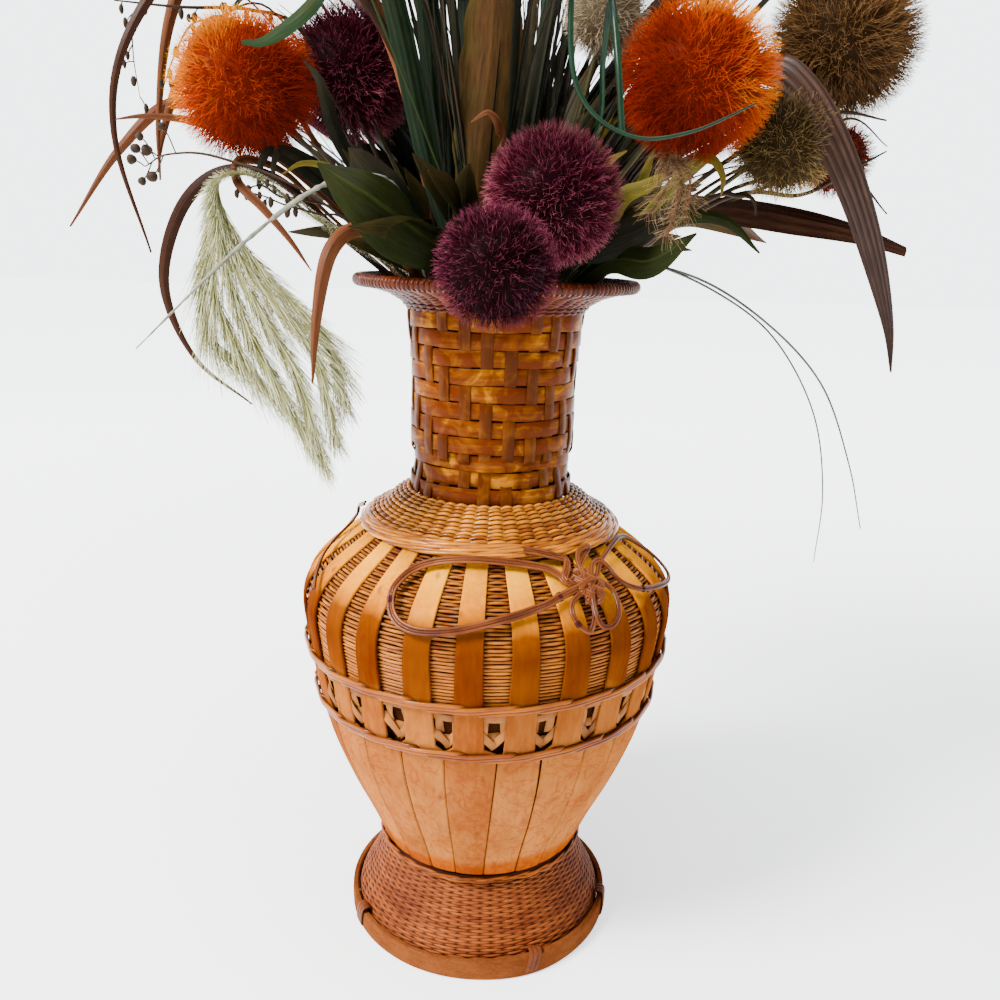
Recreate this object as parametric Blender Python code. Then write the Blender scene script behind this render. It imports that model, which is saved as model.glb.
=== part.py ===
"""Dried flower and grass arrangement in a woven split-bamboo basket vase.

Metres, +Z up. The origin is at floor level under the centre of the vase's round foot.
Azimuths are in degrees from the front (-Y), growing towards the right (+X).
"""
import math

import bmesh
import bpy
from mathutils import Vector

# Vase heights
HOOP_TOP = 0.0125
SKIRT_BOTTOM = 0.0040
SKIRT_TOP = 0.0500
WAIST_LOW = 0.0503
WAIST_HIGH = 0.0577
STAVE_LOW = 0.0580
LOWER_BAND = 0.159
UPPER_BAND = 0.189
STAVE_HIGH = 0.2597
NECK_LOW = 0.2795
NECK_HIGH = 0.3830
RIM_HEIGHT = 0.3975

# Vase radii and thicknesses
HOOP_RADIUS = 0.0835
HOOP_THICK = 0.0035
RIM_RADIUS = 0.0775
RIM_TUBE = 0.0036
STAVE_COUNT = 24
STAVE_PITCH = 360 / STAVE_COUNT
FRONT_STAVE = -4.0
STAVE_THICK = 0.0018
WALL_THICK = 0.0022
WEAVE_THICK = 0.0030
GAP = 0.0003

# Outer face of the staves, as (height, radius)
BODY_PROFILE = [
    (0.052, 0.0615), (0.075, 0.0710), (0.105, 0.0850), (0.135, 0.0965), (0.159, 0.1026), (0.192, 0.1083),
    (0.215, 0.1108), (0.232, 0.1060), (0.247, 0.0895), (0.259, 0.0735), (0.272, 0.0525),
]

# Width of a stave's free upper part, as (height, width)
STAVE_WIDTHS = [(0.166, 0.0168), (0.195, 0.0155), (0.220, 0.0143), (0.238, 0.0135), (STAVE_HIGH, 0.0115)]
STAVE_SPLIT = 0.160

# Flowers and foliage
FLOOR_OF_VASE = 0.0540
NECK_EXIT = 0.3850
BALL_SIDES = 8
BALL_RINGS = 5
FIRST_RING = 0.35
HAIR_DIP = 0.90
STEM_REACH = 0.97
FLOWER_STEM = 0.0014
LEAF_THICK = 0.0014
WIRE_THICK = 0.0008


def material(name, colour, roughness, metallic=0.0):
    """A Principled material in one colour."""
    made = bpy.data.materials.new(name)
    made.use_nodes = True
    shader = made.node_tree.nodes["Principled BSDF"]
    shader.inputs["Base Color"].default_value = (*colour, 1.0)
    shader.inputs["Roughness"].default_value = roughness
    shader.inputs["Metallic"].default_value = metallic
    made.diffuse_color = (*colour, 1.0)
    return made


def add_object(name, shape, look, smooth=False):
    """Makes a bmesh into a named object with outward faces."""
    bmesh.ops.recalc_face_normals(shape, faces=shape.faces)
    mesh = bpy.data.meshes.new(name)
    shape.to_mesh(mesh)
    shape.free()
    if smooth:
        mesh.shade_smooth()
        mesh.set_sharp_from_angle(angle=math.radians(50))
    mesh.materials.append(look)
    made = bpy.data.objects.new(name, mesh)
    bpy.context.scene.collection.objects.link(made)
    return made


def polar(azimuth, radius, height):
    """The point at an azimuth from the front, a distance from the axis and a height."""
    angle = math.radians(azimuth)
    return Vector((radius * math.sin(angle), -radius * math.cos(angle), height))


def value_at(table, place):
    """Reads a smooth curve through (place, value) pairs."""
    last = len(table) - 1
    if place <= table[0][0]:
        return table[0][1]
    if place >= table[last][0]:
        return table[last][1]
    span = next(i for i in range(last) if table[i + 1][0] >= place)
    before, after = max(span - 1, 0), min(span + 2, last)
    (x0, y0), (x1, y1) = table[span], table[span + 1]
    slope0 = (y1 - table[before][1]) / (x1 - table[before][0])
    slope1 = (table[after][1] - y0) / (table[after][0] - x0)
    t = (place - x0) / (x1 - x0)
    h = x1 - x0
    return (
        (1 + 2 * t) * (1 - t) ** 2 * y0
        + t * (1 - t) ** 2 * h * slope0
        + t * t * (3 - 2 * t) * y1
        + t * t * (t - 1) * h * slope1
    )


def body_radius(height):
    return value_at(BODY_PROFILE, height)


def smooth_route(points, spans):
    """Points along a Catmull-Rom curve through a route's own points."""
    route = [Vector(p) for p in points]
    made = []
    for i in range(len(route) - 1):
        b, c = route[i], route[i + 1]
        a = route[i - 1] if i > 0 else b * 2 - c
        d = route[i + 2] if i + 2 < len(route) else c * 2 - b
        for k in range(spans):
            t = k / spans
            square = (2 * a - 5 * b + 4 * c - d) * t ** 2
            cube = (3 * b - a - 3 * c + d) * t ** 3
            made.append((2 * b + (c - a) * t + square + cube) / 2)
    return made + [route[-1]]


def tangents(route, closed=False):
    count = len(route)
    made = []
    for i in range(count):
        ahead = route[(i + 1) % count] if closed or i + 1 < count else route[i]
        behind = route[i - 1] if closed or i > 0 else route[i]
        made.append((ahead - behind).normalized())
    return made


def carried_sides(route):
    """The tangent and a side vector at each point of the route, the side turned as little as possible."""
    made = []
    side = Vector((1, 0, 0))
    for tangent in tangents(route):
        side = (side - tangent * side.dot(tangent)).normalized()
        made.append((tangent, side))
    return made


def loft(rings, closed=False):
    """A closed bmesh through rings of points. A ring of one point is a tip."""
    shape = bmesh.new()
    made = [[shape.verts.new(p) for p in ring] for ring in rings]
    pairs = list(zip(made, made[1:]))
    if closed:
        pairs.append((made[-1], made[0]))
    for low, high in pairs:
        join_rings(shape, low, high)
    if not closed:
        for ring in (made[0], made[-1]):
            if len(ring) > 1:
                shape.faces.new(ring)
    return shape


def join_rings(shape, low, high):
    """Faces between two rings, where one may be a tip or have half as many points."""
    if len(low) == 1 or len(high) == 1:
        tip, ring = (low[0], high) if len(low) == 1 else (high[0], low)
        for i, vert in enumerate(ring):
            shape.faces.new((tip, vert, ring[(i + 1) % len(ring)]))
    elif len(low) == len(high):
        for i, vert in enumerate(low):
            j = (i + 1) % len(low)
            shape.faces.new((vert, low[j], high[j], high[i]))
    else:
        for i, vert in enumerate(low):
            j = (i + 1) % len(low)
            a, b, c = high[2 * i], high[2 * i + 1], high[(2 * i + 2) % len(high)]
            shape.faces.new((vert, b, a))
            shape.faces.new((vert, low[j], b))
            shape.faces.new((low[j], c, b))


def turned(name, outline, look):
    """Turns a closed outline of (radius, height) points into a ring of flats, one flat behind each stave."""
    shape = bmesh.new()
    rings = []
    for radius, height in outline:
        if radius == 0:
            rings.append([shape.verts.new((0, 0, height))])
        else:
            rings.append([
                shape.verts.new(polar(FRONT_STAVE + (k + 0.5) * STAVE_PITCH, radius, height))
                for k in range(STAVE_COUNT)
            ])
    for low, high in zip(rings, rings[1:] + rings[:1]):
        if len(low) > 1 or len(high) > 1:
            join_rings(shape, low, high)
    return add_object(name, shape, look, smooth=True)


def stave_rows():
    lower = [STAVE_LOW, 0.078, 0.105, 0.135, STAVE_SPLIT]
    return lower, [height for height, _ in STAVE_WIDTHS]


# Vase ------------------------------------------------------------------------------------------------------


def foot_hoop():
    """The split-bamboo hoop that the vase stands on."""
    inner = HOOP_RADIUS - HOOP_THICK
    outline = [
        (HOOP_RADIUS, 0.0), (HOOP_RADIUS + 0.0003, HOOP_TOP / 2), (HOOP_RADIUS, HOOP_TOP), (inner, HOOP_TOP),
        (inner, 0.0),
    ]
    turned("foot_hoop", outline, material("light_bamboo_hoop", (0.62, 0.33, 0.14), 0.45))


def foot_skirt():
    """The twined flaring foot, inside the hoop at its lower edge."""
    outer = [(0.0796, SKIRT_BOTTOM), (0.0780, 0.0135), (0.0700, 0.0290), (0.0625, SKIRT_TOP)]
    inner = [(0.0595, SKIRT_TOP), (0.0670, 0.0290), (0.0766, SKIRT_BOTTOM)]
    turned("foot_skirt", outer + inner, material("foot_cane", (0.36, 0.15, 0.07), 0.55))


def waist_band():
    """The plaited band round the narrowest place, between the foot and the staves."""
    middle = (WAIST_LOW + WAIST_HIGH) / 2
    outer = [(0.0640, WAIST_LOW), (0.0655, middle), (0.0648, WAIST_HIGH)]
    outline = outer + [(0.0598, WAIST_HIGH), (0.0598, WAIST_LOW)]
    turned("waist_band", outline, material("waist_cane", (0.45, 0.24, 0.12), 0.5))


def inner_basket():
    """The woven wicker vessel behind the staves, with its floor."""
    lower, upper = stave_rows()
    set_back = STAVE_THICK + GAP
    heights = lower + upper[:-1] + [STAVE_HIGH]
    outer = [(body_radius(height) - set_back, height) for height in heights]
    levels = (STAVE_HIGH, 0.238, 0.205, STAVE_SPLIT, 0.105)
    inner = [(body_radius(height) - set_back - WALL_THICK, height) for height in levels]
    low_outer = [(0.0, 0.0505), (0.0575, 0.0505), (0.0594, STAVE_LOW - 0.0001)]
    low_inner = [(0.0550, FLOOR_OF_VASE - GAP), (0.0, FLOOR_OF_VASE - GAP)]
    turned("inner_basket", low_outer + outer + inner + low_inner, material("wicker", (0.55, 0.37, 0.21), 0.7))


def bamboo_staves():
    """The crown of split-bamboo staves: edge to edge below, and 24 free tapering strips over the belly."""
    lower, _ = stave_rows()
    shape = bmesh.new()
    edges = [FRONT_STAVE + (k - 0.5) * STAVE_PITCH for k in range(STAVE_COUNT)]
    walls = []
    for set_in in (0.0, STAVE_THICK):
        walls.append([
            [shape.verts.new(polar(edge, body_radius(h) - set_in, h)) for edge in edges]
            for h in lower
        ])
    outer, inner = walls
    for wall in walls:
        for low, high in zip(wall, wall[1:]):
            join_rings(shape, low, high)
    join_rings(shape, outer[0], inner[0])
    for k in range(STAVE_COUNT):
        j = (k + 1) % STAVE_COUNT
        base = [outer[-1][k], outer[-1][j], inner[-1][j], inner[-1][k]]
        add_free_strip(shape, base, FRONT_STAVE + k * STAVE_PITCH)
    add_object("bamboo_staves", shape, material("golden_bamboo", (0.78, 0.42, 0.14), 0.35))


def add_free_strip(shape, base, azimuth):
    """Carries one stave on from its four lower corners, narrowing to its cut end."""
    below = base
    for height, width in STAVE_WIDTHS:
        flat_outer = body_radius(height) * math.cos(math.radians(STAVE_PITCH / 2))
        corners = []
        for set_in, side in ((0, -1), (0, 1), (STAVE_THICK, 1), (STAVE_THICK, -1)):
            point = Vector((side * width / 2, set_in - flat_outer, height))
            corners.append(shape.verts.new(turn_about_axis(point, azimuth)))
        join_rings(shape, below, corners)
        below = corners
    shape.faces.new(below)


def turn_about_axis(point, azimuth):
    """Turns a point at the front round the vase's axis to its azimuth."""
    angle = math.radians(azimuth)
    across, depth = point.x, -point.y
    return Vector((
        across * math.cos(angle) + depth * math.sin(angle),
        across * math.sin(angle) - depth * math.cos(angle),
        point.z,
    ))


def woven_band(name, height, look):
    """Three strands of cane laid side by side round the staves."""
    strand = 0.0025
    base = body_radius(height) + GAP
    outline = [(base, height - 1.5 * strand)]
    for k in range(-1, 2):
        outline.append((base + 0.0024, height + (k - 0.3) * strand))
        if k < 1:
            outline.append((base + 0.0014, height + (k + 0.5) * strand))
    outline.append((base + 0.0004, height + 1.5 * strand))
    slope = body_radius(height + strand) - body_radius(height - strand)
    tilt = slope / (2 * strand)
    leaned = [(radius + (h - height) * tilt, h) for radius, h in outline]
    turned(name, leaned, look)


def shoulder_weave():
    """The shoulder of twined round cane, in rows that climb from the stave ends to the neck."""
    rows = 2
    low, high = Vector((0.0765, STAVE_HIGH + GAP)), Vector((0.0490, NECK_LOW - GAP))
    outline = []
    for k in range(2 * rows + 1):
        point = low.lerp(high, k / (2 * rows))
        bulge = 0.0008 if k % 2 else 0.0
        outline.append((point.x + bulge, point.y + bulge))
    inner = [(0.0450, high.y), (0.0690, low.y)]
    turned("shoulder_weave", outline + inner, material("shoulder_cane", (0.60, 0.31, 0.12), 0.4))


def neck_weave():
    """The neck, plaited from flat split bamboo."""
    outer = [(0.0482, NECK_LOW), (0.0473, 0.305), (0.0472, 0.345), (0.0503, NECK_HIGH)]
    inner = [(0.0476, NECK_HIGH), (0.0445, 0.345), (0.0445, 0.300), (0.0450, NECK_LOW)]
    turned("neck_weave", outer + inner, material("amber_plait", (0.66, 0.27, 0.07), 0.35))


def collar_weave():
    """The twined collar that flares from the neck out to the rim."""
    low = NECK_HIGH + GAP
    outer = [(0.0508, low), (0.0548, low + 0.0035), (0.0625, low + 0.0075), (0.0732, low + 0.0105)]
    inner = [(0.0728, low + 0.0135), (0.0535, low + 0.0070), (0.0478, low)]
    turned("collar_weave", outer + inner, material("collar_cane", (0.50, 0.22, 0.08), 0.45))


def rim_binding():
    """The thick roll of the rim, closely wrapped with cane."""
    outline = []
    for k in range(6):
        angle = math.radians(60 * k + 30)
        outline.append((RIM_RADIUS + RIM_TUBE * math.cos(angle), RIM_HEIGHT + RIM_TUBE * math.sin(angle)))
    turned("rim_binding", outline, material("rim_cane", (0.42, 0.15, 0.06), 0.4))


# Decorative cane tied on the shoulder ------------------------------------------------------------------------

CANE_WIDTH = 0.0046
CANE_THICK = 0.0026
KNOT_CANE = 0.0015
KNOT_REACH = 0.0098
PETAL_REACH = 0.0046
PETAL_LIFT = 0.0028

# Azimuth, height and distance off the staves
LEFT_LOOP = [
    (24, 0.2500, 0.0045), (17, 0.2550, 0.0060), (8, 0.2575, 0.0085), (-3, 0.2580, 0.0090), (-14, 0.2570, 0.0080),
    (-22, 0.2530, 0.0065), (-26, 0.2480, 0.0055), (-27.5, 0.2420, 0.0045), (-26, 0.2370, 0.0045),
    (-22, 0.2330, 0.0045), (-14, 0.2310, 0.0045), (-4, 0.2335, 0.0045), (8, 0.2380, 0.0045), (16, 0.2410, 0.0045),
    (24, 0.2440, 0.0045),
]
RIGHT_LOOP = [
    (46, 0.2440, 0.0045), (54, 0.2400, 0.0045), (64, 0.2370, 0.0055), (74, 0.2370, 0.0065), (82, 0.2410, 0.0075),
    (84, 0.2490, 0.0080), (79, 0.2550, 0.0085), (69, 0.2580, 0.0090), (57, 0.2560, 0.0080), (47, 0.2520, 0.0050),
]
KNOT_CENTRE = (35, 0.2465, 0.0085)


def cane_loop(name, places, look):
    """A long loop of two canes lying side by side over the belly."""
    route = [polar(a, body_radius(h) + lift, h) for a, h, lift in places]
    rings = []
    for tangent, point in zip(tangents(route), route):
        outward = Vector((point.x, point.y, 0.06)).normalized()
        across = tangent.cross(outward).normalized()
        outward = across.cross(tangent)
        ring = []
        for u, w in ((-0.5, 0), (-0.25, -0.5), (0.25, -0.5), (0.5, 0), (0.25, 0.5), (0, 0.22), (-0.25, 0.5)):
            ring.append(point + across * (u * CANE_WIDTH) + outward * (w * CANE_THICK))
        rings.append(ring)
    add_object(name, loft(rings), look, smooth=True)


def cane_knot(look):
    """The interlaced flower knot, one cane woven into five petals that pass over and under each other."""
    azimuth, height, lift = KNOT_CENTRE
    centre = polar(azimuth, body_radius(height) + lift, height)
    right = polar(azimuth + 90, 1, 0)
    slope = body_radius(height + 0.004) - body_radius(height - 0.004)
    up = (polar(azimuth, slope, 0.008)).normalized()
    out = right.cross(up)
    turns, petals, steps = 2, 5, 38
    route = []
    for k in range(steps):
        angle = 2 * math.pi * k / steps
        reach = KNOT_REACH + PETAL_REACH * math.cos(petals * angle)
        route.append(
            centre
            + right * (reach * math.cos(turns * angle))
            + up * (reach * math.sin(turns * angle))
            + out * (PETAL_LIFT * math.sin(petals * angle))
        )
    rings = []
    for tangent, point in zip(tangents(route, closed=True), route):
        across = tangent.cross(out).normalized()
        normal = across.cross(tangent)
        rings.append([
            point + (across * math.cos(a) + normal * math.sin(a)) * KNOT_CANE
            for a in (math.radians(90 * i) for i in range(4))
        ])
    add_object("cane_knot", loft(rings, closed=True), look, smooth=True)


# Flowers ------------------------------------------------------------------------------------------------------


def neck_slot(azimuth, radius):
    """The upright stretch of a stem inside the vase."""
    return [polar(azimuth, radius, FLOOR_OF_VASE), polar(azimuth, radius, NECK_EXIT)]


def stem_rings(route, radii, sides):
    """Rings of points round a route, one for each of its points."""
    rings = []
    for point, radius, (tangent, side) in zip(route, radii, carried_sides(route)):
        up = tangent.cross(side)
        rings.append([
            point + (side * math.cos(a) + up * math.sin(a)) * radius
            for a in (2 * math.pi * k / sides for k in range(sides))
        ])
    return rings


def pompom(name, centre, radius, slot, look, bend=()):
    """A spiny round flower head, grown in one piece with its stem."""
    centre = Vector(centre)
    route = neck_slot(*slot) + [Vector(p) for p in bend]
    towards = (centre - route[-1]).normalized()
    route.append(centre - towards * (radius * STEM_REACH))
    rings = stem_rings(route, [FLOWER_STEM] * len(route), 4)
    side = carried_sides(route)[-1][1]
    side = (side - towards * side.dot(towards)).normalized()
    up = towards.cross(side)
    for ring in range(1, BALL_RINGS + 1):
        down = math.pi * (ring - FIRST_RING) / (BALL_RINGS + 1 - FIRST_RING)
        made = []
        for i in range(BALL_SIDES):
            reach = radius * (1.0 if (i + ring) % 2 else HAIR_DIP)
            a = 2 * math.pi * i / BALL_SIDES
            level = centre - towards * (reach * math.cos(down))
            made.append(level + (side * math.cos(a) + up * math.sin(a)) * (reach * math.sin(down)))
        rings.append(made)
    rings.append([centre + towards * radius])
    add_object(name, loft(rings), look)


def flowers():
    orange = material("orange_hair", (0.72, 0.13, 0.02), 0.9)
    purple = material("burgundy_hair", (0.17, 0.02, 0.05), 0.9)
    tan = material("tan_hair", (0.32, 0.21, 0.10), 0.9)
    cream = material("cream_hair", (0.62, 0.54, 0.42), 0.9)
    rust = material("rust_hair", (0.35, 0.06, 0.03), 0.9)
    pompom("pompom_orange_left", (-0.132, -0.020, 0.492), 0.0385, (-84, 0.036), orange, [(-0.060, -0.006, 0.425)])
    pompom("pompom_purple_left", (-0.087, 0.038, 0.508), 0.0320, (-112, 0.034), purple, [(-0.045, 0.018, 0.430)])
    pompom("pompom_purple_middle", (0.026, -0.062, 0.441), 0.0345, (22, 0.026), purple)
    pompom("pompom_purple_low", (-0.001, -0.112, 0.416), 0.0255, (-3, 0.037), purple, [(-0.003, -0.072, 0.4155)])
    pompom("pompom_orange_right", (0.093, -0.055, 0.497), 0.0390, (62, 0.027), orange, [(0.046, -0.020, 0.430)])
    pompom("pompom_tan_low", (0.149, -0.013, 0.475), 0.0300, (84, 0.039), tan, [(0.085, -0.004, 0.425)])
    pompom("pompom_tan_high", (0.190, 0.022, 0.530), 0.0370, (96, 0.031), tan, [(0.092, 0.012, 0.445)])
    pompom("pompom_cream", (0.056, 0.032, 0.543), 0.0250, (118, 0.022), cream)
    pompom("pompom_rust_right", (0.203, 0.064, 0.475), 0.0240, (108, 0.040), rust, [(0.090, 0.028, 0.425)])
    pompom("pompom_orange_top", (0.020, -0.030, 0.612), 0.0370, (60, 0.006), orange)
    pompom("pompom_purple_top", (-0.068, 0.018, 0.600), 0.0340, (-105, 0.018), purple)
    pompom("pompom_tan_top", (0.108, 0.048, 0.606), 0.0350, (126, 0.032), tan, [(0.055, 0.026, 0.470)])
    pompom("pompom_purple_back", (-0.158, 0.112, 0.512), 0.0340, (-126, 0.040), purple, [(-0.070, 0.048, 0.420)])
    pompom("pompom_orange_back", (0.123, 0.104, 0.521), 0.0350, (128, 0.041), orange, [(0.060, 0.058, 0.420)])
    pompom("pompom_tan_back", (0.032, 0.108, 0.460), 0.0310, (160, 0.041), tan, [(0.020, 0.066, 0.418)])
    pompom("pompom_cream_back", (-0.040, 0.106, 0.600), 0.0300, (-156, 0.041), cream, [(-0.020, 0.055, 0.450)])
    pompom("pompom_rust_back", (-0.064, 0.112, 0.494), 0.0265, (-142, 0.041), rust, [(-0.040, 0.070, 0.430)])


# Blades and leaves ----------------------------------------------------------------------------------------------


def blade(name, slot, points, widths, look, facing=(0, -1, 0), spans=2, thick=LEAF_THICK):
    """A long leaf: a narrow stalk in the vase, then a flat blade that widens and runs out to a point.

    widths holds (share of the free length, width) pairs, and the blade's flat side looks towards facing.
    """
    low, high = neck_slot(*slot)
    free = smooth_route([high] + [Vector(p) for p in points], spans)
    route = [low] + free
    lengths = [0.0, 0.0]
    for a, b in zip(free, free[1:]):
        lengths.append(lengths[-1] + (b - a).length)
    total = lengths[-1]
    rings = []
    for place, tangent, point in zip(lengths, tangents(route), route):
        width = value_at(widths, place / total)
        across = tangent.cross(Vector(facing)).normalized()
        normal = across.cross(tangent)
        rings.append([
            point - across * (width / 2),
            point - normal * (thick / 2),
            point + across * (width / 2),
            point + normal * (thick / 2),
        ])
    rings[-1] = [route[-1]]
    add_object(name, loft(rings), look)


def blades():
    dark = material("dark_blade", (0.045, 0.040, 0.035), 0.45)
    copper = material("copper_blade", (0.36, 0.16, 0.08), 0.5)
    green = material("iris_green", (0.020, 0.055, 0.030), 0.45)
    grey = material("ribbed_grey", (0.30, 0.22, 0.19), 0.35)
    long_blade = [(0.0, 0.003), (0.2, 0.004), (0.55, 0.0075), (0.8, 0.004), (1.0, 0.001)]
    blade(
        "dark_blade_left", (-66, 0.030),
        [(-0.050, -0.010, 0.500), (-0.105, -0.012, 0.570), (-0.155, -0.018, 0.556), (-0.188, -0.028, 0.512),
         (-0.197, -0.030, 0.466), (-0.182, -0.030, 0.408)],
        long_blade, dark, facing=(0.2, -1, 0.3),
    )
    blade(
        "copper_blade_hanging", (-98, 0.026),
        [(-0.060, 0.006, 0.520), (-0.110, 0.010, 0.590), (-0.150, 0.004, 0.578), (-0.174, 0.000, 0.530),
         (-0.184, 0.000, 0.480), (-0.186, 0.002, 0.446)],
        [(0.0, 0.003), (0.3, 0.006), (0.6, 0.012), (0.8, 0.006), (1.0, 0.001)], copper, facing=(0.3, -1, 0),
    )
    blade(
        "copper_blade_side", (-92, 0.040),
        [(-0.085, 0.014, 0.430), (-0.140, 0.026, 0.478), (-0.178, 0.012, 0.488), (-0.207, 0.002, 0.462),
         (-0.235, -0.004, 0.420)],
        [(0.0, 0.003), (0.4, 0.006), (0.7, 0.007), (1.0, 0.001)], copper, facing=(0.2, -1, 0.4),
    )
    blade(
        "dark_blade_curved", (-76, 0.041),
        [(-0.085, -0.010, 0.420), (-0.120, -0.008, 0.448), (-0.152, -0.002, 0.451), (-0.176, 0.000, 0.430),
         (-0.187, 0.000, 0.390), (-0.172, 0.000, 0.350), (-0.140, 0.000, 0.324)],
        [(0.0, 0.003), (0.3, 0.005), (0.6, 0.0072), (0.85, 0.003), (1.0, 0.001)], dark, facing=(0, -1, 0),
    )
    blade(
        "brown_hook_blade", (-44, 0.040),
        [(-0.048, -0.058, 0.411), (-0.065, -0.076, 0.4235), (-0.078, -0.088, 0.413), (-0.0835, -0.096, 0.382),
         (-0.0850, -0.100, 0.352)],
        [(0.0, 0.003), (0.3, 0.006), (0.55, 0.008), (0.8, 0.005), (1.0, 0.001)], copper, facing=(0, -1, 0.3),
    )
    iris = [(0.0, 0.005), (0.3, 0.012), (0.6, 0.011), (1.0, 0.001)]
    blade(
        "iris_blade_left", (-36, 0.024),
        [(-0.038, -0.020, 0.460), (-0.055, -0.020, 0.530), (-0.078, -0.022, 0.600), (-0.112, -0.026, 0.668)],
        iris, green,
    )
    blade(
        "iris_blade_middle", (-62, 0.012),
        [(-0.033, -0.002, 0.460), (-0.041, 0.000, 0.540), (-0.054, -0.026, 0.630), (-0.068, -0.040, 0.722)],
        iris, green,
    )
    blade(
        "iris_blade_right", (20, 0.008),
        [(-0.010, 0.012, 0.470), (-0.020, 0.028, 0.560), (0.000, 0.052, 0.650), (0.028, 0.066, 0.745)],
        iris, green,
    )
    blade(
        "ribbed_blade", (74, 0.033),
        [(0.075, 0.006, 0.465), (0.108, 0.006, 0.516), (0.142, -0.016, 0.524), (0.170, -0.042, 0.489),
         (0.190, -0.045, 0.437), (0.208, -0.036, 0.385), (0.216, -0.032, 0.350)],
        [(0.0, 0.004), (0.3, 0.013), (0.6, 0.020), (0.85, 0.012), (1.0, 0.001)], grey, facing=(-0.3, -0.83, 0.35),
    )
    blade(
        "dark_blade_right", (100, 0.026),
        [(0.074, 0.018, 0.4400), (0.133, 0.036, 0.443), (0.175, 0.028, 0.438), (0.210, 0.024, 0.431),
         (0.238, 0.024, 0.422)],
        [(0.0, 0.004), (0.4, 0.011), (0.7, 0.013), (1.0, 0.001)], dark, facing=(0, -0.6, 1),
    )
    blade(
        "back_blade_left", (-146, 0.036),
        [(-0.045, 0.062, 0.470), (-0.085, 0.096, 0.560), (-0.136, 0.126, 0.592), (-0.190, 0.138, 0.550)],
        [(0.0, 0.004), (0.4, 0.012), (0.7, 0.013), (1.0, 0.001)], green, facing=(0.54, 0.84, 0),
    )
    blade(
        "back_blade_right", (142, 0.036),
        [(0.046, 0.070, 0.460), (0.078, 0.104, 0.540), (0.116, 0.128, 0.578), (0.165, 0.142, 0.558)],
        [(0.0, 0.004), (0.4, 0.012), (0.7, 0.014), (1.0, 0.001)], dark, facing=(-0.58, 0.81, 0),
    )


def leaves():
    leaf_green = material("leaf_green", (0.07, 0.13, 0.025), 0.5)
    olive = material("olive_leaf", (0.17, 0.15, 0.03), 0.5)
    fresh = material("ribbon_green", (0.14, 0.25, 0.08), 0.45)
    oblong = [(0.0, 0.003), (0.25, 0.012), (0.6, 0.026), (0.85, 0.017), (1.0, 0.001)]
    blade(
        "broad_leaf_left", (-28, 0.034),
        [(-0.026, -0.052, 0.412), (-0.040, -0.074, 0.424), (-0.060, -0.088, 0.438), (-0.083, -0.088, 0.451)],
        oblong, leaf_green, facing=(0.3, -1, 0.55),
    )
    blade(
        "olive_leaf_upright", (-10, 0.018),
        [(-0.011, -0.030, 0.430), (-0.010, -0.036, 0.470), (-0.006, -0.040, 0.515), (-0.006, -0.052, 0.560)],
        [(0.0, 0.003), (0.2, 0.012), (0.5, 0.030), (0.8, 0.027), (1.0, 0.002)], olive, facing=(-0.1, -1, 0.1),
    )
    blade(
        "olive_leaf_right", (52, 0.038),
        [(0.062, -0.046, 0.418), (0.090, -0.050, 0.4335), (0.114, -0.050, 0.433), (0.132, -0.052, 0.418)],
        [(0.0, 0.003), (0.4, 0.008), (0.8, 0.006), (1.0, 0.001)], olive, facing=(0, -1, 0.3),
    )
    blade(
        "green_leaf_right", (44, 0.038),
        [(0.056, -0.048, 0.411), (0.075, -0.066, 0.413), (0.094, -0.078, 0.426)],
        [(0.0, 0.003), (0.4, 0.010), (0.7, 0.017), (1.0, 0.001)], leaf_green, facing=(-0.4, -0.9, 0.35),
    )
    blade(
        "ribbon_leaf", (-16, 0.008),
        [(-0.030, -0.030, 0.540), (-0.062, -0.070, 0.568), (-0.088, -0.092, 0.530), (-0.104, -0.092, 0.510),
         (-0.119, -0.090, 0.501)],
        [(0.0, 0.003), (0.5, 0.006), (0.85, 0.008), (1.0, 0.001)], fresh, facing=(-0.3, -1, 0.5),
    )
    blade(
        "back_leaf_left", (-134, 0.033),
        [(-0.060, 0.064, 0.430), (-0.102, 0.102, 0.452), (-0.145, 0.138, 0.440)],
        [(0.0, 0.003), (0.4, 0.026), (0.75, 0.030), (1.0, 0.001)], leaf_green, facing=(0, 0.3, 1),
    )
    blade(
        "back_leaf_right", (118, 0.041),
        [(0.080, 0.060, 0.420), (0.130, 0.088, 0.442), (0.180, 0.112, 0.425)],
        [(0.0, 0.003), (0.4, 0.024), (0.75, 0.028), (1.0, 0.001)], olive, facing=(0, 0.3, 1),
    )


# Grasses, twigs and sprigs -----------------------------------------------------------------------------------------


def stalk(name, slot, points, radii, look, sides=4, spans=2):
    """A round stalk from the vase's floor along a free route, with a radius at each of the route's own points."""
    low, high = neck_slot(*slot)
    route = [low] + smooth_route([high] + [Vector(p) for p in points], spans)
    widths = []
    for i in range(len(route)):
        place = max(i - 1, 0) / spans
        step = min(int(place), len(radii) - 2)
        widths.append(radii[step] + (radii[step + 1] - radii[step]) * (place - step))
    rings = stem_rings(route, widths, sides)
    rings[-1] = [route[-1]]
    add_object(name, loft(rings), look, smooth=sides > 4)


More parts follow.
